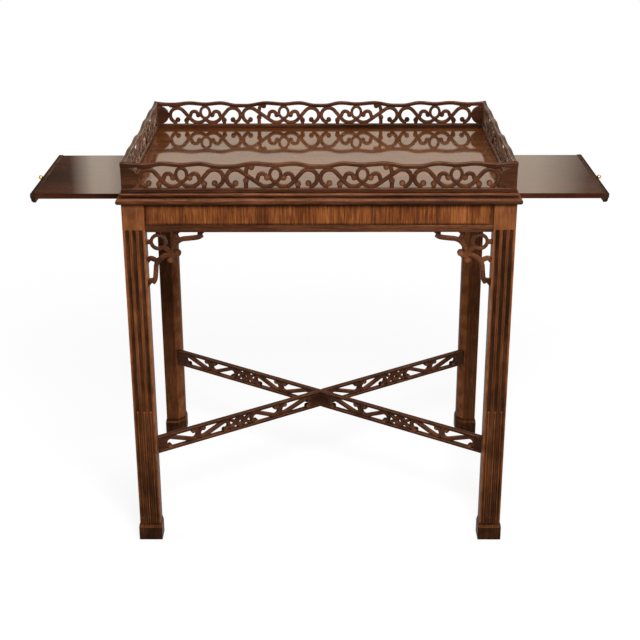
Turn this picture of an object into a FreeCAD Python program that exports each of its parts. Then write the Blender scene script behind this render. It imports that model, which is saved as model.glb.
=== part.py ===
import FreeCAD
import Part

import math
import os
import re

import Sketcher

# Serving table: a tray top with a pierced gallery, fluted square legs, pierced corner brackets,
# crossed diagonal stretchers and a slide that draws out at each end. Millimetres, +Z up.
# The origin is on the floor under the middle of the table, with the front towards -Y.

SIZES = [
    ("width", 700, "over the leg faces, left to right"),
    ("depth", 455, "over the leg faces, front to rear"),
    ("tray_height", 711, "floor to the tray's surface"),
    ("leg_side", 40, "side of the square leg"),
    ("leg_chamfer", 13, "chamfer down the leg's inner corner"),
    ("cuff_step", 2.4, "how far the foot cuff stands out from the leg"),
    ("cuff_height", 29, "upright part of the foot cuff"),
    ("cuff_cap", 8, "stepped top of the foot cuff"),
    ("flute_pitch", 12.2, "spacing of the flutes across a leg face"),
    ("flute_radius", 4.7, "radius of the flute cutter"),
    ("flute_depth", 2.2, "depth of a flute"),
    ("flute_bottom", 47, "lower end of the flutes"),
    ("flute_end", 51, "leg top down to where the flutes start to run out"),
    ("flute_runout", 40, "degrees at which the cutter leaves the wood"),
    ("reed_radius", 3, "radius of the reed that stops a flute"),
    ("reed_set", 0.5, "crest of the reed below the leg face"),
    ("reed_top", 279, "upper end of the reeds"),
    ("apron_height", 53, "height of the frieze board"),
    ("apron_thick", 20, "thickness of the frieze board"),
    ("apron_set", 3, "frieze behind the leg faces"),
    ("tenon_thick", 8, "apron tenon"),
    ("tenon_length", 20, "apron tenon"),
    ("tenon_shoulder", 6, "shoulder above and below the apron tenon"),
    ("mortise_room", 1, "glue room at the bottom of a mortise"),
    ("bead_height", 13, "strip along the frieze's lower edge"),
    ("bead_thick", 1.8, "strip along the frieze's lower edge"),
    ("top_thick", 20, "thickness of the tray board"),
    ("mould_reach", 8.5, "edge moulding beyond the leg faces"),
    ("mould_width", 20, "edge moulding from its back to its crest"),
    ("torus_radius", 5, "large round of the edge moulding"),
    ("quirk_set", 1, "groove over the large round, behind the leg faces"),
    ("edge_bead_radius", 2.75, "small round of the edge moulding"),
    ("gallery_thick", 7, "gallery fret"),
    ("gallery_set", 2, "gallery behind the leg faces"),
    ("gallery_rail", 8.6, "gallery's lower rail"),
    ("gallery_cap", 7, "gallery's wavy upper rail"),
    ("gallery_low", 51, "gallery height where two scrolls meet"),
    ("gallery_crest", 56.6, "gallery height at a hump"),
    ("gallery_dip", 54.1, "gallery height over an oval"),
    ("gallery_end", 57, "gallery height at a corner"),
    ("gallery_end_low", 53.8, "gallery height beside a corner block"),
    ("corner_block", 30, "solid corner block of the gallery"),
    ("unit_half", 76.5, "usual half of a fret unit, from scroll to oval"),
    ("stem_room", 12, "added to the half unit that has a stem"),
    ("stem_bend", 8, "below the upper rail, where a stem starts to bend over"),
    ("stem_reach", 10.2, "how far the end of a stem hangs over"),
    ("tongue_thick", 3, "gallery tongue in the moulding"),
    ("tongue_depth", 4, "gallery tongue in the moulding"),
    ("strand", 6, "width of a fret strand"),
    ("oval_strand", 4.4, "width of the oval's strand"),
    ("strand_lap", 0.3, "how far touching strands run into each other"),
    ("saw_width", 1.5, "side of the smallest opening that is sawn"),
    ("saw_slack", 0.95, "least that a corner of a fret stands out"),
    ("rim_slack", 0.1, "least that a corner of the gallery's upper edge stands out"),
    ("scroll_radius", 15.7, "large scroll of the gallery, to the middle of its strand"),
    ("cradle_radius", 19.5, "curve under the oval, to the middle of its strand"),
    ("cradle_back", 15.3, "from the oval back to the cradle's centre"),
    ("cradle_lap", 1, "how far a cradle runs past the middle of its unit"),
    ("oval_half_width", 9.7, "oval, to the middle of its strand"),
    ("oval_half_height", 12.3, "oval, to the middle of its strand"),
    ("curl_radius", 7.4, "small scroll beside the oval"),
    ("curl_drop", 3, "small scroll below the middle of the cradle"),
    ("hook_radius", 6.2, "hook under the diagonal"),
    ("eye_radius", 4.4, "round end of a scroll"),
    ("bracket_reach", 108, "corner bracket along the apron and down the leg"),
    ("bracket_thick", 8, "corner bracket"),
    ("bracket_set", 7, "corner bracket behind the leg faces"),
    ("bracket_ring", 12.3, "ring in the bracket, to the middle of its strand"),
    ("bracket_strand", 6.8, "width of a bracket's strands"),
    ("stretcher_low", 172, "floor to the underside of the stretcher"),
    ("stretcher_height", 35, "stretcher rail"),
    ("stretcher_thick", 10, "stretcher rail"),
    ("stretcher_edge", 5.2, "plain edge above and below the stretcher's piercing"),
    ("stub_length", 9, "stretcher's stub tenon in the leg"),
    ("stub_thick", 6, "stretcher's stub tenon"),
    ("stub_height", 23, "stretcher's stub tenon"),
    ("slide_width", 253, "slide, front to rear"),
    ("slide_length", 286, "slide board behind its lip"),
    ("slide_thick", 10, "slide board"),
    ("slide_drop", 23, "leg top down to the underside of the slides"),
    ("slide_travel", 178, "how far a slide draws out"),
    ("slide_clear", 0.4, "running clearance round a slide"),
    ("lip_gap", 0.3, "gap between a closed lip and the frieze"),
    ("lip_thick", 10, "lip on the end of a slide"),
    ("lip_height", 18, "lip on the end of a slide"),
    ("lip_rise", 1, "lip above the slide board"),
    ("lip_round", 4, "round on the lip's outer lower edge"),
    ("tongue_slide", 5, "slide tongue in its lip, long and thick"),
    ("runner_width", 22, "grooved runner that carries the slides"),
    ("runner_drop", 9, "runner below the slide board"),
    ("runner_grip", 6, "depth of the slide's edge in the runner"),
    ("stop_length", 14, "stop block on a slide, along its travel"),
    ("stop_width", 40, "stop block on a slide, across its travel"),
    ("stop_rise", 7, "stop block on a slide"),
    ("stop_spread", 120, "between the middles of a slide's two stop blocks"),
    ("stop_gap", 0.3, "stop block from the apron when drawn out"),
    ("ball_radius", 4.3, "knob"),
    ("knob_reach", 13, "knob out from the lip"),
    ("neck_radius", 2.2, "knob"),
    ("shank_radius", 1.6, "knob's shank in the lip"),
    ("shank_room", 0.5, "between the knob's shank and the slide's tongue"),
    ("block_length", 60, "glue block under the tray"),
    ("block_side", 18, "glue block under the tray"),
    ("block_spread", 200, "between the glue blocks"),
]

# Facets of rounds: degrees of turn to each straight cut of a fret, by the size of the curve,
# and the sides of a full round.
LARGE_TURN = 40
SMALL_TURN = 52
EYE_SIDES = 6
FULL_TURN = 360
HALF_ROUND_SIDES = 6
REED_SIDES = 4
KNOB_SIDES = 8
# Degrees off the knob's axis at which its ball ends in a flat.
BALL_FLAT = 20
# Degrees by which the two halves of a ring run past each other.
RING_LAP = 10
# Least part of a cut that counts as one more.
ROUNDING = 1e-6

# Each side of the table by the quarter turn that brings the front there, the size that runs
# along it, the size across it, and what its left and right ends are called.
SIDES = [
    ("front", 0, "width", "depth", ("left", "right")),
    ("right", 90, "depth", "width", ("front", "rear")),
    ("rear", 180, "width", "depth", ("right", "left")),
    ("left", 270, "depth", "width", ("rear", "front")),
]

LEG_TOP = "(tray_height - top_thick)"
APRON_LOW = f"({LEG_TOP} - apron_height)"
# Middle of a leg's inner chamfer, from the leg's outer corner along each side.
CHAMFER_MID = "(leg_side - leg_chamfer / 2)"
STRETCHER_TURN = f"atan2(depth / 2 - {CHAMFER_MID}; width / 2 - {CHAMFER_MID})"
FLUTE_TOP = f"({LEG_TOP} - flute_end)"
SLIDE_LOW = f"({LEG_TOP} - slide_drop)"
SLIDE_TOP = f"({SLIDE_LOW} + slide_thick)"
TONGUE_LOW = f"({SLIDE_LOW} + (slide_thick - tongue_slide) / 2)"
SHANK_LENGTH = "(lip_thick - tongue_slide - shank_room)"
LIP_FACE = "(width / 2 - apron_set + lip_gap + slide_travel)"

doc = FreeCAD.newDocument("ServingTable")
sheet = doc.addObject("Spreadsheet::Sheet", "Sizes")
for row, (alias, value, meaning) in enumerate(SIZES, start=1):
    sheet.set(f"A{row}", meaning)
    sheet.set(f"B{row}", str(value))
    sheet.setAlias(f"B{row}", alias)
doc.recompute()

ALIASES = {alias for alias, _, _ in SIZES}
NODES = []


def size(alias):
    """A size as the sheet holds it."""
    return float(sheet.get(alias))


def linked(text):
    """An expression with each size's name pointed at its cell."""
    return re.sub(r"[a-z][a-z_]*", lambda m: f"Sizes.{m[0]}" if m[0] in ALIASES else m[0], text)


def worth(text):
    """The number that an expression of the sheet comes to."""
    answer = sheet.evalExpression(linked(text))
    return float(getattr(answer, "Value", answer))


def bind(thing, links):
    """Tie properties of an object to expressions of the sheet."""
    for name, text in links.items():
        thing.setExpression(name, linked(text))


def node(thing, label):
    """Name a finished piece and list it."""
    thing.Label = label
    NODES.append(thing)
    return thing


def stand(thing, at, axis=(0, 0, 1), turn=None):
    """Place an object at three expressions, turned about an axis by an expression in degrees."""
    if turn is not None:
        thing.Placement = FreeCAD.Placement(
            FreeCAD.Vector(), FreeCAD.Rotation(FreeCAD.Vector(*axis), 1)
        )
        bind(thing, {"Placement.Rotation.Angle": turn})
    bind(thing, {f"Placement.Base.{way}": text for way, text in zip("xyz", at)})


def turned(thing, degrees, at=("0", "0", "0")):
    """Bring a piece round from the front to another side."""
    thing.Placement = FreeCAD.Placement(
        FreeCAD.Vector(), FreeCAD.Rotation(FreeCAD.Vector(0, 0, 1), degrees)
    )
    bind(thing, {f"Placement.Base.{way}": text for way, text in zip("xyz", at)})


def new_body(label):
    """An empty PartDesign body."""
    return doc.addObject("PartDesign::Body", label)


def block(body, kind, name, measures, at, turn=None):
    """Add a box to a body or take one away: its three lengths and its low corner."""
    box = body.newObject(f"PartDesign::{kind}Box", name)
    bind(box, dict(zip(("Length", "Width", "Height"), measures)))
    stand(box, at, turn=turn)
    return box


def sketch_on(body, plane, name, offset=None):
    """A sketch on one of a body's origin planes, raised by an expression along the normal."""
    sketch = body.newObject("Sketcher::SketchObject", name)
    support = next(part for part in body.Origin.OriginFeatures if part.Role == plane)
    sketch.AttachmentSupport = [(support, "")]
    sketch.MapMode = "FlatFace"
    if offset is not None:
        bind(sketch, {"AttachmentOffset.Base.z": offset})
    return sketch


def pin_down(sketch, geometry, point, x, y):
    """Hold a sketch point at two expressions."""
    for way, text, zero_axis in (("DistanceX", x, -2), ("DistanceY", y, -1)):
        value = worth(text)
        if abs(value) < 1e-9:
            sketch.addConstraint(Sketcher.Constraint("PointOnObject", geometry, point, zero_axis))
            continue
        ends = (-1, 1, geometry, point) if value > 0 else (geometry, point, -1, 1)
        index = sketch.addConstraint(Sketcher.Constraint(way, *ends, abs(value)))
        sketch.setExpression(f"Constraints[{index}]", linked(text if value > 0 else f"-({text})"))


def outline(sketch, corners):
    """Draw a closed outline through corners that are each held at two expressions."""
    first = len(sketch.Geometry)
    spots = [FreeCAD.Vector(worth(x), worth(y), 0) for x, y in corners]
    for start, end in zip(spots, spots[1:] + spots[:1]):
        sketch.addGeometry(Part.LineSegment(start, end), False)
    for index, (x, y) in enumerate(corners):
        following = (index + 1) % len(corners)
        sketch.addConstraint(Sketcher.Constraint("Coincident", first + index, 2, first + following, 1))
        pin_down(sketch, first + index, 1, x, y)


def half_round(x, y, radius, start, sides=HALF_ROUND_SIDES):
    """Corners of a half round about a middle at two expressions, from an angle on."""
    angles = [start + 180 * step / sides for step in range(sides + 1)]
    return [(f"{x} + {radius} * cos({a})", f"{y} + {radius} * sin({a})") for a in angles]


def raised(body, kind, name, sketch, length, flipped=False, symmetric=False):
    """Pad or pocket a sketch by an expression."""
    feature = body.newObject(f"PartDesign::{kind}", name)
    feature.Profile = sketch
    feature.SideType = "Symmetric" if symmetric else "One side"
    feature.Reversed = flipped
    bind(feature, {"Length": length})
    sketch.Visibility = False
    return feature


def leg_outline(grow):
    """A leg's section, chamfered on its inner corner, grown outwards by an expression."""
    low = f"-({grow})"
    high = f"(leg_side + {grow})"
    cut = f"(leg_side - leg_chamfer + ({grow}) * (2 ^ 0.5 - 1))"
    return [(low, low), (high, low), (high, cut), (cut, high), (low, high)]


# Legs, with flutes on the two outer faces that reeds stop lower down


def make_leg(label, degrees, corner, stretcher_turn):
    """One leg: section, flutes, reeds, two apron mortises and the stretcher's mortise."""
    body = new_body(label)
    section = sketch_on(body, "XY_Plane", f"{label}_section")
    outline(section, leg_outline("0"))
    raised(body, "Pad", f"{label}_length", section, LEG_TOP)

    flute_leg(body, label)
    depth = "tenon_length + mortise_room"
    across = "(apron_set + (apron_thick - tenon_thick) / 2)"
    tall = "apron_height - 2 * tenon_shoulder"
    low = f"{APRON_LOW} + tenon_shoulder"
    inner = f"leg_side - ({depth})"
    block(body, "Subtractive", f"{label}_mortise_a", (depth, "tenon_thick", tall), (inner, across, low))
    block(body, "Subtractive", f"{label}_mortise_b", ("tenon_thick", depth, tall), (across, inner, low))

    reach = "(stub_length + mortise_room)"
    block(
        body,
        "Subtractive",
        f"{label}_stretcher_mortise",
        (f"{reach} + leg_chamfer", "stub_thick", "stub_height"),
        (
            f"{CHAMFER_MID} - {reach} * cos({stretcher_turn}) + stub_thick / 2 * sin({stretcher_turn})",
            f"{CHAMFER_MID} - {reach} * sin({stretcher_turn}) - stub_thick / 2 * cos({stretcher_turn})",
            "stretcher_low + (stretcher_height - stub_height) / 2",
        ),
        turn=stretcher_turn,
    )
    turned(body, degrees, corner)
    node(body, label)


def flute_leg(body, label):
    """Flutes in both outer faces, with reeds that fill them lower down.

    At its top each flute's cutter leans out of the wood, which leaves an arched end.
    """
    out = "(flute_depth - flute_radius)"
    reed_in = "(reed_radius + reed_set)"
    flutes = sketch_on(body, "XY_Plane", f"{label}_flute_outlines", "flute_bottom")
    ends_x = sketch_on(body, "XY_Plane", f"{label}_end_outlines_x", FLUTE_TOP)
    ends_y = sketch_on(body, "XY_Plane", f"{label}_end_outlines_y", FLUTE_TOP)
    reeds = sketch_on(body, "XY_Plane", f"{label}_reed_outlines", "flute_bottom")
    for step in (-1, 0, 1):
        across = f"(leg_side / 2 + ({step}) * flute_pitch)"
        for sketch in (flutes, ends_x):
            outline(sketch, half_round(out, across, "flute_radius", -90))
        for sketch in (flutes, ends_y):
            outline(sketch, half_round(across, out, "flute_radius", 0))
        outline(reeds, half_round(reed_in, across, "reed_radius", 90, REED_SIDES))
        outline(reeds, half_round(across, reed_in, "reed_radius", 180, REED_SIDES))
    raised(body, "Pocket", f"{label}_flutes", flutes, f"{FLUTE_TOP} - flute_bottom", flipped=True)
    for way, sketch in (("x", ends_x), ("y", ends_y)):
        end = raised(body, "Pocket", f"{label}_flute_ends_{way}", sketch, "3 * flute_radius")
        end.UseCustomVector = True
        end.AlongSketchNormal = False
        bind(end, {f"Direction.{way}": "-sin(flute_runout)", "Direction.z": "cos(flute_runout)"})
    raised(body, "Pad", f"{label}_reeds", reeds, "reed_top - flute_bottom")


def make_cuff(label, degrees, corner):
    """Foot cuff: a block with two steps up to the leg, hollowed to fit round it."""
    body = new_body(label)
    steps = [
        ("block", "cuff_step", "0", "cuff_height"),
        ("step", "cuff_step * 2 / 3", "cuff_height", "cuff_cap / 2"),
        ("fillet", "cuff_step / 3", "cuff_height + cuff_cap / 2", "cuff_cap / 2"),
    ]
    for name, grow, low, tall in steps:
        level = sketch_on(body, "XY_Plane", f"{label}_{name}_outline", low)
        outline(level, leg_outline(grow))
        raised(body, "Pad", f"{label}_{name}", level, tall)
    hollow = sketch_on(body, "XY_Plane", f"{label}_hollow")
    outline(hollow, leg_outline("0"))
    raised(body, "Pocket", f"{label}_fit", hollow, "cuff_height + cuff_cap", flipped=True)
    turned(body, degrees, corner)
    node(body, label)


def make_legs():
    """Four legs with their cuffs. Every other leg meets its stretcher from the other side."""
    other = f"(90 deg - {STRETCHER_TURN})"
    corners = [
        ("front_left", 0, ("-width / 2", "-depth / 2", "0"), STRETCHER_TURN),
        ("front_right", 90, ("width / 2", "-depth / 2", "0"), other),
        ("rear_right", 180, ("width / 2", "depth / 2", "0"), STRETCHER_TURN),
        ("rear_left", 270, ("-width / 2", "depth / 2", "0"), other),
    ]
    for name, degrees, corner, stretcher_turn in corners:
        make_leg(f"leg_{name}", degrees, corner, stretcher_turn)
        make_cuff(f"foot_cuff_{name}", degrees, corner)


# Frieze: tenoned aprons, the strips along their lower edges, and the slots for the slides


def make_apron(side, degrees, along, across):
    """A frieze board tenoned into two legs, slotted where a slide passes."""
    label = f"apron_{side}"
    body = new_body(label)
    length = f"({along} - 2 * leg_side)"
    face = f"(-{across} / 2 + apron_set)"
    block(
        body,
        "Additive",
        f"{label}_board",
        (length, "apron_thick", "apron_height"),
        (f"-{length} / 2", face, APRON_LOW),
    )
    block(
        body,
        "Additive",
        f"{label}_tenons",
        (f"{length} + 2 * tenon_length", "tenon_thick", "apron_height - 2 * tenon_shoulder"),
        (
            f"-{length} / 2 - tenon_length",
            f"{face} + (apron_thick - tenon_thick) / 2",
            f"{APRON_LOW} + tenon_shoulder",
        ),
    )
    if along == "depth":
        slot = "(slide_width + 2 * slide_clear)"
        block(
            body,
            "Subtractive",
            f"{label}_slot",
            (slot, "apron_thick", "slide_thick + 2 * slide_clear"),
            (f"-{slot} / 2", face, f"{SLIDE_LOW} - slide_clear"),
        )
    turned(body, degrees)
    node(body, label)


def make_bead(side, degrees, along, across):
    """The strip glued along a frieze board's lower edge."""
    label = f"frieze_bead_{side}"
    body = new_body(label)
    length = f"({along} - 2 * leg_side)"
    block(
        body,
        "Additive",
        f"{label}_strip",
        (length, "bead_thick", "bead_height"),
        (f"-{length} / 2", f"-{across} / 2 + apron_set - bead_thick", APRON_LOW),
    )
    turned(body, degrees)
    node(body, label)


# Tray: the board, its mitred edge moulding and the gallery that stands in it


def make_tray():
    """The tray board inside the edge moulding."""
    body = new_body("tray_board")
    long = "(width + 2 * (mould_reach - mould_width))"
    wide = "(depth + 2 * (mould_reach - mould_width))"
    low_corner = (f"-{long} / 2", f"-{wide} / 2", LEG_TOP)
    block(body, "Additive", "tray_slab", (long, wide, "top_thick"), low_corner)
    node(body, "tray_board")


def make_moulding(side, degrees, along, across):
    """Edge moulding of one side: a large round, a quirk and a small bead, mitred at both ends."""
    label = f"edge_moulding_{side}"
    body = new_body(label)
    face = f"-{across} / 2"
    back = f"({face} - mould_reach + mould_width)"
    round_y = f"({face} - mould_reach + torus_radius)"
    quirk_y = f"({face} + quirk_set)"
    low = LEG_TOP
    section = sketch_on(body, "YZ_Plane", f"{label}_section")
    corners = [(back, "tray_height")]
    corners += half_round(quirk_y, "tray_height - edge_bead_radius", "edge_bead_radius", 90)
    corners.append((quirk_y, f"{low} + 2 * torus_radius"))
    corners += half_round(round_y, f"{low} + torus_radius", "torus_radius", 90)
    corners.append((back, low))
    outline(section, corners)
    span = f"({along} + 2 * mould_reach)"
    raised(body, "Pad", f"{label}_run", section, span, symmetric=True)
    groove = "(gallery_set + (gallery_thick - tongue_thick) / 2)"
    block(
        body,
        "Subtractive",
        f"{label}_groove",
        (span, "tongue_thick", "tongue_depth"),
        (f"-{span} / 2", f"{face} + {groove}", "tray_height - tongue_depth"),
    )
    far = "(2 * mould_width)"
    for end, way in (("left", "-1"), ("right", "1")):
        block(
            body,
            "Subtractive",
            f"{label}_mitre_{end}",
            (far, far, "2 * top_thick"),
            (f"{way} * {span} / 2", f"({face} - mould_reach)", f"{low} - top_thick / 2"),
            turn="45",
        )
    turned(body, degrees)
    node(body, label)


def make_aprons_and_edges():
    """What runs along each of the four sides."""
    for side, degrees, along, across, _ in SIDES:
        make_apron(side, degrees, along, across)
        make_bead(side, degrees, along, across)
        make_moulding(side, degrees, along, across)


# Sawn fretwork, drawn as strands in an upright plane: x runs along it and z up


def bow(centre, radius, start, end, turn=LARGE_TURN, height=None):
    """Points round a circle, or an ellipse with its own height, from one angle to another."""
    steps = max(1, math.ceil(abs(end - start) / turn - ROUNDING))
    points = []
    for step in range(steps + 1):
        angle = math.radians(start + (end - start) * step / steps)
        tall = radius if height is None else height
        points.append((centre[0] + radius * math.cos(angle), centre[1] + tall * math.sin(angle)))
    return points


def eye(centre, radius=None):
    """The round end of a scroll."""
    reach = size("eye_radius") if radius is None else radius
    step = FULL_TURN / EYE_SIDES
    return bow(centre, reach, 0, FULL_TURN - step, step)


def ribbon(path, width):
    """The outline of a strand of one width along a path."""
    headings = []
    for here, there in zip(path, path[1:]):
        run = math.hypot(there[0] - here[0], there[1] - here[1])
        headings.append(((there[0] - here[0]) / run, (there[1] - here[1]) / run))
    left, right = [], []
    for index, spot in enumerate(path):
        before = headings[max(index - 1, 0)]
        after = headings[min(index, len(headings) - 1)]
        spread = 1 + before[0] * after[0] + before[1] * after[1]
        out_x = -(before[1] + after[1]) / spread * width / 2
        out_z = (before[0] + after[0]) / spread * width / 2
        left.append((spot[0] + out_x, spot[1] + out_z))
        right.append((spot[0] - out_x, spot[1] - out_z))
    return left + right[::-1]


def ring_of(centre, radius, width):
    """The two halves of a ring, each a strand that runs a little into the other."""
    half = FULL_TURN / 2
    halves = [bow(centre, radius, start, start + half + RING_LAP, SMALL_TURN) for start in (0, half)]
    return [ribbon(path, width) for path in halves]


def face_of(points, front):
    """A flat upright face, wound the same way whichever way its outline runs."""
    around = zip(points, points[1:] + points[:1])
    winding = sum(here[0] * there[1] - there[0] * here[1] for here, there in around)
    spots = [FreeCAD.Vector(x, front, z) for x, z in points[:: 1 if winding > 0 else -1]]
    return Part.Face(Part.makePolygon(spots + spots[:1]))


def plain_rim(wire, slack):
    """A rim of straight cuts without the corners that stand out less than the slack."""
    spots = [corner.Point for corner in wire.OrderedVertexes]
    while len(spots) > 3:
        bulges = []
        for index, spot in enumerate(spots):
            before = spots[index - 1]
            after = spots[(index + 1) % len(spots)]
            bulges.append((spot.distanceToLine(before, after - before), index))
        least, index = min(bulges)
        if least > slack:
            break
        del spots[index]
    return Part.makePolygon(spots + spots[:1])


def sawn(shapes, front, thickness, rim_slack):
    """Join overlapping outlines into one flat fret, with its thickness behind the front."""
    faces = [face_of(points, front) for points in shapes]
    joined = faces[0].multiFuse(faces[1:]).removeSplitter()
    if len(joined.Faces) != 1:
        raise RuntimeError(f"a fret came out in {len(joined.Faces)} pieces")
    rim = joined.Faces[0].OuterWire
    fret = Part.Face(plain_rim(rim, rim_slack))
    for wire in joined.Faces[0].Wires:
        opening = Part.Face(plain_rim(wire, size("saw_slack")))
        if not wire.isSame(rim) and opening.Area > size("saw_width") ** 2:
            fret = fret.cut(opening)
    return fret.extrude(FreeCAD.Vector(0, thickness, 0))


def shifted(shapes, start, way, lift):
    """Move outlines to a starting point, running left or right, and up."""
    return [[(start + way * x, lift + z) for x, z in points] for points in shapes]


def smooth(points, steps=2):
    """A path that runs smoothly through a few chosen points."""
    path = [points[0]]
    ends = [points[0]] + points + [points[-1]]
    for before, here, there, after in zip(ends, ends[1:], ends[2:], ends[3:]):
        for step in range(1, steps + 1):
            t = step / steps
            path.append(
                tuple(
                    0.5
                    * (
                        2 * b
                        + (c - a) * t
                        + (2 * a - 5 * b + 4 * c - d) * t**2
                        + (3 * b - a - 3 * c + d) * t**3
                    )
                    for a, b, c, d in zip(before, here, there, after)
                )
            )
    return path


# Degrees from +X at which the gallery's strands start and end
SCROLL_START = 265
HOOK_TURN = (80, 180)
CURL_TURN = (180, 15)
OVAL_TURN = (86, 274)
# Wavy upper edge: straight cuts over half a unit, and the shares of it at which the hump starts
# to rise and stands highest
WAVE_CUTS = 6
HUMP_START = 0.11
HUMP_TOP = 0.58
# The half unit that has a stem, counted from the corner, in a panel of more than two units
STEM_UNIT = 2


def half_unit(usual, stemmed):
    """Strands of half a gallery unit, from where two scrolls meet (x 0) to the oval.

    Heights are over the lower rail. The long diagonal is the common tangent of the large scroll
    and of the cradle under the oval, so it leans more as the unit gets longer. A unit that is
    shorter than usual is the usual one drawn narrower.
    """
    length = max(usual, size("unit_half"))
    narrow = usual / length
    strand = size("strand")
    scroll = size("scroll_radius")
    cradle = size("cradle_radius")
    centre = (scroll + strand / 2 - size("strand_lap"), scroll + strand / 2 - 2 * size("strand_lap"))
    under = (length - size("cradle_back"), cradle + strand / 2 - size("strand_lap"))
    away = (under[0] - centre[0], under[1] - centre[1])
    lean = math.degrees(
        math.atan2(away[1], away[0]) - math.asin((scroll + cradle) / math.hypot(*away))
    )
    leaves = bow(centre, scroll, SCROLL_START, 90 + lean)
    past = size("cradle_back") + size("cradle_lap")
    lands = bow(under, cradle, lean - 90, -math.degrees(math.acos(past / cradle)))
    foot, head = lands[0], leaves[-1]

    def diagonal(x):
        """Height of the diagonal over a place along it."""
        return head[1] + (foot[1] - head[1]) * (x - head[0]) / (foot[0] - head[0])

    hook = size("hook_radius")
    hook_x = 2 * centre[0] + hook
    hook_centre = (hook_x, diagonal(hook_x) - hook)
    hook_path = bow(hook_centre, hook, *HOOK_TURN, SMALL_TURN)
    hook_path.append((hook_path[-1][0], 0))

    curl = size("curl_radius")
    oval_x = size("oval_half_width")
    oval_strand = size("oval_strand")
    curl_centre = (length - oval_x - strand - curl, under[1] - size("curl_drop"))
    root = curl_centre[0] - curl - strand / 2
    curl_path = [(root, diagonal(root))] + bow(curl_centre, curl, *CURL_TURN, SMALL_TURN)
    oval_top = size("gallery_dip") - size("gallery_rail") - size("gallery_cap") + size("strand_lap")
    oval_centre = (length, oval_top - size("oval_half_height") - oval_strand / 2)

    eye_radius = size("eye_radius")
    shapes = [
        ribbon(leaves + lands, strand),
        ribbon(hook_path, strand),
        ribbon(curl_path, strand),
        ribbon(bow(oval_centre, oval_x, *OVAL_TURN, LARGE_TURN, size("oval_half_height")), oval_strand),
        eye((centre[0], strand + eye_radius / 2)),
        eye((hook_x - hook, hook_centre[1])),
        eye((length - oval_x - oval_strand / 2 - eye_radius / 2, curl_centre[1])),
    ]
    if stemmed:
        ceiling = size("gallery_crest") - size("gallery_rail") - size("gallery_cap")
        bend = size("stem_bend")
        stem_x = hook_x - hook
        tip = stem_x + size("stem_reach")
        stem = [(stem_x, diagonal(stem_x)), (stem_x + bend / 8, ceiling - bend)]
        stem += [(stem_x + bend / 2, ceiling - bend / 4), (tip, ceiling)]
        shapes.append(ribbon(stem, strand))
        shapes.append(eye((tip, ceiling - eye_radius / 2)))
    return [[(narrow * x, z) for x, z in points] for points in shapes]


def wave(length, low):
    """Upper edge of half a unit, from the meeting of two scrolls over the hump to the oval."""
    crest = size("gallery_crest")
    dip = size("gallery_dip")
    points = []
    for step in range(WAVE_CUTS + 1):
        share = step / WAVE_CUTS
        if share < HUMP_TOP:
            climbed = max(0, share - HUMP_START) / (HUMP_TOP - HUMP_START)
            height = low + (crest - low) * (1 - math.cos(math.pi * climbed)) / 2
        else:
            sunk = (share - HUMP_TOP) / (1 - HUMP_TOP)
            height = crest - (crest - dip) * (1 - math.cos(math.pi * sunk)) / 2
        points.append((length * share, height))
    return points


def cap_rail(length, low):
    """The wavy upper rail over half a unit."""
    over = wave(length, low)
    under = wave(length, size("gallery_low"))
    return over + [(x, z - size("gallery_cap")) for x, z in under[::-1]]


def gallery_shapes(half):
    """All the outlines of one gallery panel, as long on each side of its middle as half."""
    corner = size("corner_block")
    rail = size("gallery_rail")
    strand = size("strand")
    scroll = size("scroll_radius")
    units = max(1, round((half - corner) / (2 * size("unit_half"))))
    stem_room = size("stem_room") if units > 1 else 0
    lengths = [(half - corner - stem_room) / (2 * units)] * (2 * units)
    if units > 1:
        lengths[STEM_UNIT] += stem_room
    shapes = [[(-half, 0), (half, 0), (half, rail), (-half, rail)]]
    for way in (-1, 1):
        block_end = -way * half
        low_end = size("gallery_end_low")
        body = [(0, 0), (corner - scroll, 0), (corner - scroll, low_end - size("gallery_cap"))]
        body += [(corner, low_end - size("gallery_cap")), (corner, low_end), (0, size("gallery_end"))]
        round_out = scroll + strand / 2
        boss = bow((corner - round_out, rail + round_out), round_out, -90, 90)
        shapes += shifted([body, boss], block_end, way, 0)
        place = corner
        for index, length in enumerate(lengths):
            outward = index % 2 == 0
            start = block_end + way * (place if outward else place + length)
            facing = way if outward else -way
            low = size("gallery_end_low") if index == 0 else size("gallery_low")
            shapes += shifted(half_unit(length, units > 1 and index == STEM_UNIT), start, facing, rail)
            shapes += shifted([cap_rail(length, low)], start, facing, 0)
            place += length
    return shapes


def mitre_tools(half, front, reach, low, high):
    """Two wedges that cut a panel's ends at 45 degrees from its outer corners."""
    tools = []
    for way in (-1, 1):
        spots = [(way * half, front), (way * (half - reach), front + reach), (way * half, front + reach)]
        points = [FreeCAD.Vector(x, y, low) for x, y in spots]
        wedge = Part.Face(Part.makePolygon(points + points[:1]))
        tools.append(wedge.extrude(FreeCAD.Vector(0, 0, high - low)))
    return tools


def make_gallery(side, degrees, along, across):
    """A gallery panel: sawn fret with a tongue below, mitred at both ends."""
    half = size(along) / 2 - size("gallery_set")
    thick = size("gallery_thick")
    front = -size(across) / 2 + size("gallery_set")
    deep = size("tongue_depth")
    fret = sawn(gallery_shapes(half), front, thick, size("rim_slack"))
    tongue = Part.makeBox(
        2 * half,
        size("tongue_thick"),
        deep,
        FreeCAD.Vector(-half, front + (thick - size("tongue_thick")) / 2, -deep),
    )
    ends = mitre_tools(half, front, thick, -deep, size("gallery_end"))
    panel = fret.fuse(tongue).cut(ends)
    piece = doc.addObject("Part::Feature", f"gallery_{side}")
    piece.Shape = panel.removeSplitter()
    turned(piece, degrees, ("0", "0", "tray_height"))
    node(piece, f"gallery_{side}")


# Corner brackets, symmetric about the diagonal of their corner


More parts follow.
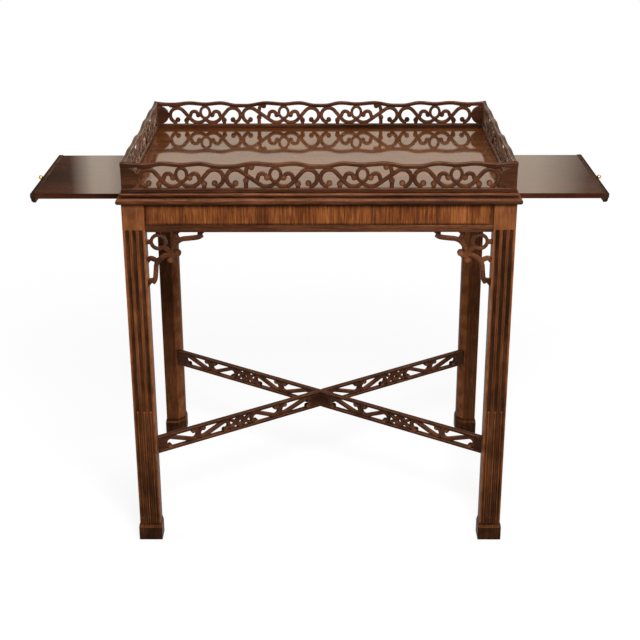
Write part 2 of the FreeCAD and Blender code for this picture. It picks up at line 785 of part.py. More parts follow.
# Places on a bracket as shares of its reach: along the apron, then down from it. Strands that end
# on the apron start above it and are cut off there.
BRACKET_HUB = 0.2
BRACKET_LIMB = [(0.93, 0.05), (0.75, 0.125), (0.58, 0.165), (0.46, 0.26), (0.395, 0.38), (0.375, 0.47)]
BRACKET_FOOT = [(0.87, 0), (1, 0), (0.955, 0.04), (0.925, 0.1), (0.85, 0.115)]
BRACKET_CURL = [(0.564, -0.04), (0.53, 0.06), (0.57, 0.15)]
BRACKET_EYE = (0.42, 0.5)
BRACKET_LINK = 0.4
# The bracket's eyes against the width of its strands
BRACKET_EYE_SHARE = 0.9


def bracket_shapes():
    """Outlines of a bracket: x from the leg along the apron, z down from the apron as a minus."""
    reach = size("bracket_reach")
    ring = size("bracket_ring")
    strand = size("bracket_strand")

    def spots(shares):
        """Shares of the reach as places."""
        return [(reach * x, reach * z) for x, z in shares]

    hub = (BRACKET_HUB * reach, BRACKET_HUB * reach)
    arm = [
        ribbon(smooth(spots(BRACKET_LIMB)), strand),
        spots(BRACKET_FOOT),
        ribbon(spots(BRACKET_CURL), strand),
        eye(spots([BRACKET_EYE])[0], strand * BRACKET_EYE_SHARE),
        ribbon([(hub[0], 0), (hub[0], hub[1] - ring)], strand),
    ]
    shapes = arm + [[(z, x) for x, z in points] for points in arm]
    shapes += ring_of(hub, ring, strand)
    rim = BRACKET_HUB * reach + ring * math.sqrt(0.5)
    shapes.append(ribbon([(rim, rim), (BRACKET_LINK * reach, BRACKET_LINK * reach)], strand))
    return [[(max(x, 0), -max(z, 0)) for x, z in points] for points in shapes]


def make_brackets():
    """A bracket at both ends of every apron."""
    shapes = bracket_shapes()
    for side, degrees, along, across, ends in SIDES:
        inner = size(along) / 2 - size("leg_side")
        front = -size(across) / 2 + size("bracket_set")
        for way, end in zip((1, -1), ends):
            piece = doc.addObject("Part::Feature", f"bracket_{side}_{end}")
            placed = shifted(shapes, -way * inner, way, 0)
            piece.Shape = sawn(placed, front, size("bracket_thick"), size("saw_slack"))
            turned(piece, degrees, ("0", "0", APRON_LOW))
            node(piece, f"bracket_{side}_{end}")


# Crossed stretchers, halved together in the middle and tenoned into the legs' chamfers

# Where each S-scroll of half a rail starts and ends, as shares of its run from the leg to the
# middle, and whether its bar falls or rises on the way in. Scrolls that meet stand back to back.
STRETCHER_SCROLLS = [
    (0.044, 0.246, "falls"),
    (0.239, 0.431, "rises"),
    (0.554, 0.741, "falls"),
    (0.734, 0.947, "rises"),
]
# The ring between the two pairs of scrolls, and the posts beside it, as shares of the run.
STRETCHER_RING = 0.4935
STRETCHER_POSTS = (0.44, 0.547)


def s_scroll(start, end, tall, edge, strand):
    """A falling S-scroll between two plain edges: its bar is the common tangent of its two bows."""
    radius = tall / 2 - edge - strand / 2 + size("strand_lap")
    near = (start + radius + strand / 2, tall / 2)
    far = (end - radius - strand / 2, tall / 2)
    lean = -math.degrees(math.asin(2 * radius / (far[0] - near[0])))
    quarter = FULL_TURN / 4
    path = bow(near, radius, 3 * quarter, quarter + lean, SMALL_TURN)
    path += bow(far, radius, lean - quarter, quarter, SMALL_TURN)
    ball = edge + size("eye_radius") / 2
    return [ribbon(path, strand), eye((near[0], ball)), eye((far[0], tall - ball))]


def stretcher_shapes(run):
    """Outlines of a whole rail that reaches run on each side of its middle."""
    tall = size("stretcher_height")
    edge = size("stretcher_edge")
    strand = size("strand")
    half = []
    for start, end, lean in STRETCHER_SCROLLS:
        scroll = s_scroll(start * run, end * run, tall, edge, strand)
        if lean == "rises":
            scroll = [[(x, tall - z) for x, z in points] for points in scroll]
        half += scroll
    for post in STRETCHER_POSTS:
        half.append(ribbon([(post * run, 0), (post * run, tall)], strand))
    ring = tall / 2 - edge - strand / 2 + size("strand_lap")
    half += ring_of((STRETCHER_RING * run, tall / 2), ring, strand)
    plain = STRETCHER_SCROLLS[0][0] * run + strand / 2
    spare = size("stretcher_thick")
    half.append([(-spare, 0), (plain, 0), (plain, tall), (-spare, tall)])
    middle = STRETCHER_SCROLLS[-1][1] * run - strand / 2
    over = run + size("strand_lap")
    half.append([(middle, 0), (over, 0), (over, tall), (middle, tall)])
    half.append([(0, 0), (run, 0), (run, edge), (0, edge)])
    half.append([(0, tall - edge), (run, tall - edge), (run, tall), (0, tall)])
    return shifted(half, -run, 1, 0) + shifted(half, run, -1, 0)


def slab(length, thick, low, high, turn=0, at=(0, 0)):
    """A box centred on the Z axis, turned about it and moved."""
    box = Part.makeBox(length, thick, high - low, FreeCAD.Vector(-length / 2, -thick / 2, low))
    box.rotate(FreeCAD.Vector(), FreeCAD.Vector(0, 0, 1), turn)
    box.translate(FreeCAD.Vector(at[0], at[1], 0))
    return box


def make_stretcher(label, way):
    """One diagonal rail: way +1 runs from front left to rear right, -1 from rear left to front right."""
    chamfer_mid = worth(CHAMFER_MID)
    run = math.hypot(size("width") / 2 - chamfer_mid, size("depth") / 2 - chamfer_mid)
    turn = worth(STRETCHER_TURN)
    tall = size("stretcher_height")
    thick = size("stretcher_thick")
    rail = sawn(stretcher_shapes(run), -thick / 2, thick, size("saw_slack"))
    far = 4 * thick
    skew = way * (45 - turn)
    for end in (-1, 1):
        lean = math.radians(skew)
        spot = (end * (run + far / 2 * math.cos(lean)), end * far / 2 * math.sin(lean))
        rail = rail.cut(slab(far, far, 0, tall, skew, spot))
    stub = (tall - size("stub_height")) / 2
    rail = rail.fuse(slab(2 * (run + size("stub_length")), size("stub_thick"), stub, tall - stub).cut(
        slab(2 * run - far, far, 0, tall)
    ))
    low, high = (tall / 2, tall) if way > 0 else (0, tall / 2)
    rail = rail.cut(slab(far, thick, low, high, -2 * way * turn))
    piece = doc.addObject("Part::Feature", label)
    piece.Shape = rail.removeSplitter()
    stand(piece, ("0", "0", "stretcher_low"), turn=STRETCHER_TURN if way > 0 else f"-{STRETCHER_TURN}")
    node(piece, label)


# Slides at both ends, with the runners that carry them


def make_runner(label, degrees):
    """A grooved runner between the side aprons, under the tray."""
    body = new_body(label)
    long = "(width - 2 * (apron_set + apron_thick))"
    face = "(slide_width / 2 - runner_grip)"
    low = f"({SLIDE_LOW} - runner_drop)"
    block(
        body,
        "Additive",
        f"{label}_bar",
        (long, "runner_width", f"{LEG_TOP} - {low}"),
        (f"-{long} / 2", f"-{face} - runner_width", low),
    )
    block(
        body,
        "Subtractive",
        f"{label}_groove",
        (long, "runner_grip + slide_clear", "slide_thick + 2 * slide_clear"),
        (f"-{long} / 2", f"-{face} - runner_grip - slide_clear", f"{SLIDE_LOW} - slide_clear"),
    )
    turned(body, degrees)
    node(body, label)


def make_slide_board(label, degrees):
    """The slide: a board with a tongue on its outer end."""
    body = new_body(label)
    inner = f"({LIP_FACE} - slide_length)"
    block(
        body,
        "Additive",
        f"{label}_board",
        ("slide_length", "slide_width", "slide_thick"),
        (inner, "-slide_width / 2", SLIDE_LOW),
    )
    block(
        body,
        "Additive",
        f"{label}_tongue",
        ("tongue_slide", "slide_width", "tongue_slide"),
        (LIP_FACE, "-slide_width / 2", TONGUE_LOW),
    )
    turned(body, degrees)
    node(body, label)


def make_lip(label, degrees):
    """The lip across a slide's outer end, rounded below, grooved for the tongue and bored for the knob."""
    body = new_body(label)
    top = f"({SLIDE_TOP} + lip_rise)"
    low = f"({top} - lip_height)"
    outer = f"({LIP_FACE} + lip_thick)"
    section = sketch_on(body, "XZ_Plane", f"{label}_section")
    outline(
        section,
        [
            (LIP_FACE, low),
            (f"{outer} - lip_round", low),
            (outer, f"{low} + 2 * lip_round"),
            (outer, f"{top} - lip_rise"),
            (f"{outer} - lip_rise", top),
            (LIP_FACE, top),
        ],
    )
    raised(body, "Pad", f"{label}_run", section, "slide_width", symmetric=True)
    block(
        body,
        "Subtractive",
        f"{label}_groove",
        ("tongue_slide", "slide_width", "tongue_slide"),
        (LIP_FACE, "-slide_width / 2", TONGUE_LOW),
    )
    spot = (f"{outer} - {SHANK_LENGTH}", "0", f"{top} - lip_height / 2")
    hole = body.newObject("PartDesign::SubtractivePrism", f"{label}_knob_hole")
    hole.Polygon = KNOB_SIDES
    bind(hole, {"Circumradius": "shank_radius", "Height": SHANK_LENGTH})
    stand(hole, spot, (0, 1, 0), "90")
    turned(body, degrees)
    node(body, label)


def make_knob(label, degrees):
    """A turned knob of shank, neck and ball, with flat sides."""
    reach = size("knob_reach")
    ball = size("ball_radius")
    neck = size("neck_radius")
    shank = size("shank_radius")
    middle = reach - ball
    meets = 180 - math.degrees(math.asin(neck / ball))
    profile = [(-worth(SHANK_LENGTH), shank), (0, shank), (0, neck)]
    profile += bow((middle, 0), ball, meets, BALL_FLAT, LARGE_TURN)
    rings = []
    for along, radius in profile:
        round_it = bow((0, 0), radius, 0, FULL_TURN, FULL_TURN / KNOB_SIDES)[:-1]
        rings.append([FreeCAD.Vector(along, y, z) for z, y in round_it])
    outlines = [rings[0], rings[-1]]
    for inner, outer in zip(rings, rings[1:]):
        for side in range(KNOB_SIDES):
            outlines.append([inner[side - 1], inner[side], outer[side], outer[side - 1]])
    faces = [Part.Face(Part.makePolygon(corners + corners[:1])) for corners in outlines]
    piece = doc.addObject("Part::Feature", label)
    piece.Shape = Part.makeSolid(Part.makeShell(faces))
    way = 1 if degrees == 0 else -1
    height = f"{SLIDE_TOP} + lip_rise - lip_height / 2"
    turned(piece, degrees, (f"{way} * ({LIP_FACE} + lip_thick)", "0", height))
    node(piece, label)


def make_group(label, pieces):
    """Loose pieces of one kind under one name."""
    group = doc.addObject("Part::Compound", label)
    group.Links = pieces
    node(group, label)


def make_stops(label, way):
    """The two blocks on a slide that meet the apron's inner face when it is drawn out."""
    stops = []
    meets = "(width / 2 - apron_set - apron_thick - stop_gap)"
    low_x = f"{meets} - stop_length" if way > 0 else f"-{meets}"
    for index, side in enumerate((-1, 1)):
        piece = doc.addObject("Part::Box", f"{label}_{index}")
        bind(piece, {"Length": "stop_length", "Width": "stop_width", "Height": "stop_rise"})
        stand(piece, (low_x, f"{side} * stop_spread / 2 - stop_width / 2", SLIDE_TOP))
        stops.append(piece)
    make_group(label, stops)


def make_slides():
    """Both slides, drawn out, and their runners."""
    make_runner("slide_runner_front", 0)
    make_runner("slide_runner_rear", 180)
    for side, degrees, way in (("right", 0, 1), ("left", 180, -1)):
        make_slide_board(f"slide_board_{side}", degrees)
        make_lip(f"slide_lip_{side}", degrees)
        make_knob(f"knob_{side}", degrees)
        make_stops(f"slide_stops_{side}", way)


def make_glue_blocks():
    """Blocks in the angle between the tray board and the long aprons."""
    blocks = []
    inside = "(depth / 2 - apron_set - apron_thick)"
    for row, low_y in (("front", f"-{inside}"), ("rear", f"{inside} - block_side")):
        for column in (-1, 0, 1):
            piece = doc.addObject("Part::Box", f"glue_block_{row}_{column + 2}")
            bind(piece, {"Length": "block_length", "Width": "block_side", "Height": "block_side"})
            middle = f"({column}) * block_spread"
            stand(piece, (f"{middle} - block_length / 2", low_y, f"{LEG_TOP} - block_side"))
            blocks.append(piece)
    make_group("glue_blocks", blocks)


def check_and_export():
    """Stop on any object that failed, then write every piece to its own file."""
    doc.recompute()
    for thing in doc.Objects:
        if {"Invalid", "Error"} & set(thing.State):
            raise RuntimeError(f"{thing.Label} failed: {thing.State}")
    os.makedirs("parts", exist_ok=True)
    for piece in NODES:
        shape = piece.Shape
        if shape.isNull() or not shape.isValid() or not shape.Solids:
            raise RuntimeError(f"{piece.Label} has no valid solid")
        shape.exportStep(f"parts/{piece.Label}.step")
    print(f"{len(NODES)} pieces written")


make_legs()
make_aprons_and_edges()
make_tray()
for side, degrees, along, across, _ in SIDES:
    make_gallery(side, degrees, along, across)
make_brackets()
make_stretcher("stretcher_left_to_right", 1)
make_stretcher("stretcher_right_to_left", -1)
make_slides()
make_glue_blocks()
check_and_export()
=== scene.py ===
import logging
import math
from dataclasses import dataclass, field
from enum import Enum
from typing import ClassVar

import bpy
import numpy as np
from mathutils import Matrix, Vector


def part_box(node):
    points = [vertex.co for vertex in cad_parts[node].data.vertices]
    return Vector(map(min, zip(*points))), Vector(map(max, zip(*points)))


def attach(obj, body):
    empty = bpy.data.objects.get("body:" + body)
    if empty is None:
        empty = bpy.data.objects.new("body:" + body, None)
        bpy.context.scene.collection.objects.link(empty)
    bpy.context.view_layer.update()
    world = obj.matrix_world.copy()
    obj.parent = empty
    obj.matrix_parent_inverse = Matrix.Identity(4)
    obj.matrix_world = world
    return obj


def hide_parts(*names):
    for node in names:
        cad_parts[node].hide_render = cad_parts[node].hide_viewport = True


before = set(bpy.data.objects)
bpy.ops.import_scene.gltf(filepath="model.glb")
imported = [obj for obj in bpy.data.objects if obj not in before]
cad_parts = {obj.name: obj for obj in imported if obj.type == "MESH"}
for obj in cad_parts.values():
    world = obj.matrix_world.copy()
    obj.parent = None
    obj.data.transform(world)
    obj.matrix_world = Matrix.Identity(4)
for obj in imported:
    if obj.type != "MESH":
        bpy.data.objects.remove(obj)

LOG = logging.getLogger("serving_table")
MM = 0.001
WELD = 0.005
SHARP_ANGLE = 38.0
SOFT_ANGLE = 32.0
BOARD_BACK = 0.2


class Grain(Enum):
    """Which way the grain runs, as the turn that lays it along X."""

    WIDTH = (0.0, 0.0, 0.0)
    DEPTH = (0.0, 0.0, -90.0)
    HEIGHT = (0.0, 90.0, 0.0)
    RISING = (0.0, 0.0, -31.5)
    FALLING = (0.0, 0.0, 31.5)


class Side(Enum):
    """A side of the table, by the degrees of turn that bring the front there."""

    FRONT = 0
    RIGHT = 90
    REAR = 180
    LEFT = 270

    @property
    def label(self) -> str:
        """The side's name in the nodes."""
        return self.name.lower()

    @property
    def lengthwise(self) -> bool:
        """Whether the side runs along the table's width."""
        return self.value % 180 == 0

    @property
    def grain(self) -> Grain:
        """The grain of a piece that runs along the side."""
        return Grain.WIDTH if self.lengthwise else Grain.DEPTH


class Lean(Enum):
    """Which way the bar of an S-scroll runs, from the leg inwards."""

    FALLS = 1
    RISES = -1


class Mark(Enum):
    """What a piece's points carry for its finish: painted highlight and wear, and painted shade and grime.
    """

    WORN = "worn"
    HOLLOW = "hollow"


@dataclass(frozen=True)
class TableSizes:
    """Main sizes of the table, in millimetres."""

    width: float = 700.0
    depth: float = 455.0
    tray: float = 711.0
    leg_top: float = 691.0
    apron_low: float = 638.0
    leg: float = 40.0

    def along(self, side: Side) -> float:
        """The table's length along a side."""
        return self.width if side.lengthwise else self.depth

    def across(self, side: Side) -> float:
        """The table's length from a side to the one opposite."""
        return self.depth if side.lengthwise else self.width


@dataclass
class Surface:
    """Points in millimetres, the faces over them, and two marks for the finish at each point: painted
    highlight and wear, and painted shade and grime.
    """

    points: np.ndarray
    faces: list[list[int]]
    worn: np.ndarray
    hollow: np.ndarray

    def turned(self, degrees: float) -> "Surface":
        """The surface turned about the Z axis.

        Args:
            degrees: The turn, anticlockwise from above.

        Returns:
            The turned surface.
        """
        angle = math.radians(degrees)
        cos, sin = round(math.cos(angle), 12), round(math.sin(angle), 12)
        turn = np.array([[cos, sin, 0], [-sin, cos, 0], [0, 0, 1]], dtype=float)
        return Surface(self.points @ turn, self.faces, self.worn, self.hollow)

    def moved(self, x: float, y: float, z: float) -> "Surface":
        """The surface moved by a distance along each axis."""
        return Surface(self.points + np.array([x, y, z]), self.faces, self.worn, self.hollow)


def joined(surfaces: list[Surface]) -> Surface:
    """Several surfaces as one.

    Args:
        surfaces: The surfaces, each closed by itself.

    Returns:
        One surface with all their points and faces.
    """
    counts = [len(surface.points) for surface in surfaces]
    starts = np.concatenate([[0], np.cumsum(counts)[:-1]]).astype(int)
    faces = []
    for start, surface in zip(starts, surfaces):
        faces += [[int(start) + corner for corner in face] for face in surface.faces]
    return Surface(
        np.concatenate([surface.points for surface in surfaces]),
        faces,
        np.concatenate([surface.worn for surface in surfaces]),
        np.concatenate([surface.hollow for surface in surfaces]),
    )


def skin(rings: np.ndarray, worn: np.ndarray, hollow: np.ndarray) -> Surface:
    """A closed skin over a grid of rings.

    Each ring is joined to the next by quads, the first and last ring are closed by flat caps, and
    the faces are turned so that the volume that they enclose, a sixth of the sum of the triple
    products of their triangles, is positive.

    Args:
        rings: Points as an array of rings by points by three.
        worn: Mark of painted highlight and wear at each point of the grid.
        hollow: Mark of painted shade and grime at each point of the grid.

    Returns:
        The closed surface.
    """
    count, around = rings.shape[:2]
    index = np.arange(count * around).reshape(count, around)
    here, there = index[:-1], index[1:]
    quads = np.stack([here, np.roll(here, -1, 1), np.roll(there, -1, 1), there], axis=-1).reshape(-1, 4)
    points = rings.reshape(-1, 3)
    faces = quads.tolist()
    triangles = [quads[:, [0, 1, 2]], quads[:, [0, 2, 3]]]
    for cap in (index[0][::-1], index[-1]):
        faces.append(cap.tolist())
        fan = np.stack([np.full(around - 2, cap[0]), cap[1:-1], cap[2:]], axis=-1)
        triangles.append(fan)
    corners = points[np.concatenate(triangles)]
    volume = np.einsum("ij,ij->", corners[:, 0], np.cross(corners[:, 1], corners[:, 2]))
    if volume < 0:
        faces = [face[::-1] for face in faces]
    flat = (count, around)
    return Surface(
        points,
        faces,
        np.broadcast_to(worn, flat).reshape(-1).astype(float),
        np.broadcast_to(hollow, flat).reshape(-1).astype(float),
    )


def soft_square(count: int, power: float) -> tuple[np.ndarray, np.ndarray]:
    """Points round a square with soft corners, |u| ** power + |v| ** power = 1.

    Args:
        count: How many points.
        power: 2 for a circle, and more for squarer corners.

    Returns:
        Both coordinates, each from -1 to 1.
    """
    angle = (np.arange(count) + 0.5) * 2 * np.pi / count
    cos, sin = np.cos(angle), np.sin(angle)
    u = np.sign(cos) * np.abs(cos) ** (2 / power)
    v = np.sign(sin) * np.abs(sin) ** (2 / power)
    return u, v


def grid(x: np.ndarray, y: np.ndarray, z: np.ndarray) -> np.ndarray:
    """Rings of points from three coordinates, each spread over the whole grid."""
    return np.stack(np.broadcast_arrays(x, y, z), axis=-1)


def circle(count: int) -> tuple[np.ndarray, np.ndarray]:
    """Cosines and sines of angles evenly round a circle."""
    angle = np.arange(count) * 2 * np.pi / count
    return np.cos(angle), np.sin(angle)


def ramp(value: np.ndarray, start: float, span: float) -> np.ndarray:
    """0 up to a start, 1 from a span further on, and even between them."""
    return np.clip((value - start) / span, 0, 1)


def arc(centre: tuple[float, float], wide: float, start: float, end: float,
        tall: float | None = None, step: float = 9.0) -> np.ndarray:
    """Points on a circle or an ellipse: centre + (wide cos a, tall sin a).

    Args:
        centre: Middle of the curve.
        wide: Half its width.
        start: First angle in degrees.
        end: Last angle in degrees.
        tall: Half its height, or None for a circle.
        step: Largest turn between two points.

    Returns:
        The points, two coordinates each.
    """
    count = max(2, math.ceil(abs(end - start) / step) + 1)
    angle = np.radians(np.linspace(start, end, count))
    high = wide if tall is None else tall
    return np.stack([centre[0] + wide * np.cos(angle), centre[1] + high * np.sin(angle)], axis=-1)


def flowing(places: np.ndarray, steps: int = 8) -> np.ndarray:
    """A smooth path through a few places: between two places, the cubic whose slope at each is
    half the way from the place before to the place after.

    Args:
        places: The places, two coordinates each.
        steps: How many points from one place to the next.

    Returns:
        The points of the path.
    """
    padded = np.concatenate([places[:1], places, places[-1:]])
    t = (np.arange(steps) / steps)[None, :, None]
    a, b, c, d = (padded[k:len(padded) - 3 + k][:, None, :] for k in range(4))
    curve = 0.5 * (2 * b + (c - a) * t + (2 * a - 5 * b + 4 * c - d) * t**2 + (3 * b - a - 3 * c + d) * t**3)
    return np.concatenate([curve.reshape(-1, 2), places[-1:]])


def outward(corners: np.ndarray) -> np.ndarray:
    """How each corner of a closed outline moves when all its edges move out by one.

    Args:
        corners: The outline, anticlockwise, two coordinates each.

    Returns:
        The sum of the normals of both edges at each corner, over one plus their product.
    """
    edge = np.roll(corners, -1, axis=0) - corners
    edge = edge / np.linalg.norm(edge, axis=1, keepdims=True)
    after = np.stack([edge[:, 1], -edge[:, 0]], axis=-1)
    before = np.roll(after, 1, axis=0)
    return (before + after) / (1 + np.sum(before * after, axis=1, keepdims=True))


@dataclass
class Stroke:
    """A fret strand: a path in the fret's plane, its width, and how far its front is set back. Its
    sides start at a share of its half width; they carry a painted highlight above and painted shade below."""

    path: np.ndarray
    width: float
    set_back: float = 0.0

    POINTS: ClassVar[int] = 16
    SQUARENESS: ClassVar[float] = 3.4
    SIDE_START: ClassVar[float] = 0.6
    SIDE_SPAN: ClassVar[float] = 0.3
    FACE_WORN: ClassVar[float] = 0.25
    SIDE_WORN: ClassVar[float] = 0.6
    SIDE_SHADE: ClassVar[float] = 0.75

    def placed(self, start: float, way: int, rise: float) -> "Stroke":
        """The stroke from a starting place, to the right or the left, and up."""
        return Stroke(self.path * np.array([way, 1]) + np.array([start, rise]), self.width, self.set_back)

    def surface(self, thick: float) -> Surface:
        """A soft square profile carried along the path, square to it in the fret's plane.

        Args:
            thick: Thickness of the fret, from its front at y 0.

        Returns:
            The strand as a closed tube.
        """
        u, v = soft_square(self.POINTS, self.SQUARENESS)
        run = np.gradient(self.path, axis=0)
        run /= np.linalg.norm(run, axis=1, keepdims=True)
        over = u[None, :] * self.width / 2
        depth = self.set_back + (thick - 2 * self.set_back) * (1 + v) / 2
        rings = grid(self.path[:, :1] - run[:, 1:] * over, depth, self.path[:, 1:] + run[:, :1] * over)
        # Upper sides get a painted highlight and lower sides painted shade, by which way each side faces.
        upward = run[:, :1] * np.sign(u)[None]
        side = ramp(np.abs(u), self.SIDE_START, self.SIDE_SPAN)[None]
        worn = np.maximum(self.FACE_WORN * (1 - side), self.SIDE_WORN * side * np.clip(upward, 0, 1))
        hollow = side * np.clip(self.SIDE_SHADE - self.SIDE_SHADE * upward, 0, 1)
        return skin(rings, worn, hollow)


@dataclass
class Dot:
    """The round end of a scroll: a centre in the fret's plane, a radius, and how far its front
    swells out."""

    centre: tuple[float, float]
    radius: float
    swell: float = 0.4

    POINTS: ClassVar[int] = 20

    def placed(self, start: float, way: int, rise: float) -> "Dot":
        """The dot from a starting place, to the right or the left, and up."""
        return Dot((start + way * self.centre[0], rise + self.centre[1]), self.radius, self.swell)

    def surface(self, thick: float) -> Surface:
        """A turned button: circles of a profile of radii and depths, with a domed front.

        Args:
            thick: Thickness of the fret, from its front at y 0.

        Returns:
            The button as a closed skin.
        """
        radius = self.radius * np.array([0.7, 0.95, 1.0, 1.0, 0.95, 0.8, 0.5, 0.12])[:, None]
        depth = np.array([thick, thick - 0.6, thick - 1.4, 1.5, 0.6, 0.0, -0.7 * self.swell, -self.swell])
        cos, sin = circle(self.POINTS)
        rings = grid(self.centre[0] + radius * cos, depth[:, None], self.centre[1] + radius * sin)
        # Painted highlight and wear on the domed front, and painted shade on the sides that sink into the
        # fret.
        worn = np.array([0, 0, 0, 0, 0.2, 0.5, 0.8, 1.0])[:, None]
        hollow = np.array([0, 0.7, 1, 1, 0.7, 0.2, 0, 0])[:, None]
        return skin(rings, worn, hollow)


def plate(outline: np.ndarray, near: float, far: float, bevel: float) -> Surface:
    """A flat board in the fret's plane with bevelled edges, which carry a painted highlight and wear in
    front and
    painted shade at the back: the outline drawn in by the bevel at both faces, and at its full size between
    them.

    Args:
        outline: Corners of the board, anticlockwise in x and z.
        near: Depth of its front.
        far: Depth of its back.
        bevel: Width of the bevel.

    Returns:
        The board as a closed skin.
    """
    inner = outline - outward(outline) * bevel
    rows = [(inner, near), (outline, near + bevel), (outline, far - bevel), (inner, far)]
    rings = np.stack([np.insert(spots, 1, depth, axis=1) for spots, depth in rows])
    worn = np.array([0.05, 0.5, 0.3, 0.05])[:, None]
    hollow = np.array([0.3, 0.2, 0.6, 0.3])[:, None]
    return skin(rings, worn, hollow)


def fret_board(outline: np.ndarray, start: float, way: int, thick: float, bevel: float) -> Surface:
    """A board of a fret from a starting place, to the right or the left, set a little behind both
    faces of the fret.

    Args:
        outline: Corners of the board, anticlockwise in x and z.
        start: The place where its x is 0.
        way: 1 for the right, -1 for the left.
        thick: Thickness of the fret, from its front at y 0.
        bevel: Width of the bevel.

    Returns:
        The board as a closed skin.
    """
    spots = outline * np.array([way, 1]) + np.array([start, 0])
    return plate(spots if way > 0 else spots[::-1], BOARD_BACK, thick - BOARD_BACK, bevel)


def rail(x: np.ndarray, low: np.ndarray, high: np.ndarray, near: float, far: float) -> Surface:
    """A rail along x: at each place, a soft square between two heights and two depths. Its upper
    edges carry a painted highlight, and it is darker towards its back.

    Args:
        x: Places along the rail.
        low: Underside at each place.
        high: Upper side at each place.
        near: Depth of its front.
        far: Depth of its back.

    Returns:
        The rail as a closed tube.
    """
    points, squareness = 20, 6.0
    edge_start, edge_span = 1.6, 0.2
    back_start, back_span = 0.2, 0.8
    top_face, back_dark = 0.9, 0.4
    u, v = soft_square(points, squareness)
    middle = ((low + high) / 2)[:, None]
    half = ((high - low) / 2)[:, None]
    rings = grid(x[:, None], (near + far) / 2 + u * (far - near) / 2, middle + half * v)
    # Painted highlight on the upper edges; darker towards the back.
    worn = ramp(np.abs(u) + np.abs(v), edge_start, edge_span) * (v > 0)
    hollow = ramp(u, back_start, back_span) * (v < top_face) * back_dark
    return skin(rings, worn, hollow)


def colour(red: float, green: float, blue: float) -> tuple[float, float, float, float]:
    """A screen colour as linear light: a share under 0.04045 over 12.92, and a larger one plus 0.055,
    over 1.055, to the power of 2.4.

    Args:
        red: Red from 0 to 255.
        green: Green from 0 to 255.
        blue: Blue from 0 to 255.

    Returns:
        Red, green and blue from 0 to 1, and an opacity of 1.
    """
    share = np.array([red, green, blue]) / 255
    linear = np.where(share <= 0.04045, share / 12.92, ((share + 0.055) / 1.055) ** 2.4)
    return (*linear.tolist(), 1.0)


@dataclass(frozen=True)
class WoodFinish:
    """A polished wood: its colours from dark to light, its figure, and its polish."""

    name: str
    slot: str
    dark: tuple[int, int, int]
    middle: tuple[int, int, int]
    light: tuple[int, int, int]
    ribbon: float
    dull: float
    level: float = 0.03
    polish: float = 0.0
    polish_index: float = 1.62
    polish_dull: float = 0.05


@dataclass(frozen=True)
class BrassFinish:
    """A lacquered brass: its colours."""

    name: str = "aged_brass"
    slot: str = "brass"
    dark: tuple[int, int, int] = (84, 62, 34)
    light: tuple[int, int, int] = (196, 168, 116)


MAHOGANY = WoodFinish("mahogany", "mahogany", (36, 18, 8), (99, 58, 34), (160, 97, 56), 0.5, 0.4)
FRETWORK = WoodFinish("fretwork", "fretwork", (30, 14, 7), (72, 40, 24), (118, 72, 46), 0.45, 0.4, 0.06)
# The end panels' copy of the fretwork: darker faces and a pale light tone that paints the sheen on their
# sawn edges.
FRETWORK_END = WoodFinish(
    "fretwork_end", "fretwork", (20, 11, 7), (50, 30, 20), (146, 112, 90), 0.45, 0.4, 0.2
)
FRIEZE = WoodFinish("frieze_veneer", "frieze_veneer", (40, 20, 9), (109, 60, 31), (162, 99, 52), 0.65, 0.36)
MOULDING = WoodFinish("moulding", "mahogany", (34, 16, 9), (80, 46, 29), (124, 80, 54), 0.5, 0.4)
TRAY = WoodFinish(
    "tray_polish", "tray_polish", (60, 26, 9), (100, 54, 20), (126, 74, 32), 0.45, 0.3,
    polish=1.0, polish_index=1.54,
)
SLIDE = WoodFinish(
    "slide_polish", "tray_polish", (34, 16, 9), (68, 34, 20), (92, 50, 32), 0.45, 0.3,
    polish=1.0, polish_index=2.0,
)
LIP = WoodFinish("slide_lip", "mahogany", (20, 11, 7), (52, 32, 22), (84, 58, 42), 0.5, 0.4)
BRASS = BrassFinish()
INNER = WoodFinish("inner_wood", "inner_wood", (96, 62, 36), (140, 100, 64), (172, 132, 90), 0.4, 0.6)


@dataclass(frozen=True)
class FrameEdges:
    """The joints round a frieze board in millimetres: the axis along it, half its length between
    the legs, and the heights of its strip and of the moulding."""

    axis: str
    half: float
    low: float
    high: float


@dataclass(frozen=True)
class Tint:
    """A colour laid over the wood: the mask that places it, the finish's colour that it is made
    from, how much lighter or darker it is, and its strength."""

    mask: str
    base: str
    factor: float
    strength: float


@dataclass(frozen=True)
class FigureLayer:
    """A noise of the wood's figure: its name, its stretch along each axis, its detail and
    roughness, and the span of it that is spread from 0 to 1."""

    name: str
    stretch: tuple[float, float, float]
    detail: float
    rough: float
    span: tuple[float, float]


@dataclass(frozen=True)
class MarkNoise:
    """How a mark is broken up: its name, the result's name, how fine the noise is, and its floor."""

    mark: str
    result: str
    scale: float
    floor: float


# The third tint lays painted shade and grime, and the last painted highlight and wear, from each piece's
# marks.
TINTS = (
    Tint("Pores", "dark", 0.6, 0.4),
    Tint("Stain", "dark", 0.8, 0.6),
    Tint("PatchyShadeAndDirt", "dark", 0.6, 0.95),
    Tint("Rubbed", "light", 1.2, 0.65),
)
FIGURE = (
    FigureLayer("Tone", (3.0, 34.0, 34.0), 3.0, 0.6, (0.3, 0.7)),
    FigureLayer("Fibre", (20.0, 400.0, 400.0), 4.0, 0.65, (0.3, 0.7)),
    FigureLayer("Pores", (70.0, 1100.0, 1100.0), 1.0, 0.5, (0.56, 0.72)),
    FigureLayer("Stain", (16.0, 30.0, 30.0), 4.0, 0.65, (0.45, 0.75)),
)
MARK_NOISES = (MarkNoise("Worn", "Rubbed", 45.0, 0.25), MarkNoise("Hollow", "PatchyShadeAndDirt", 30.0, 0.7))


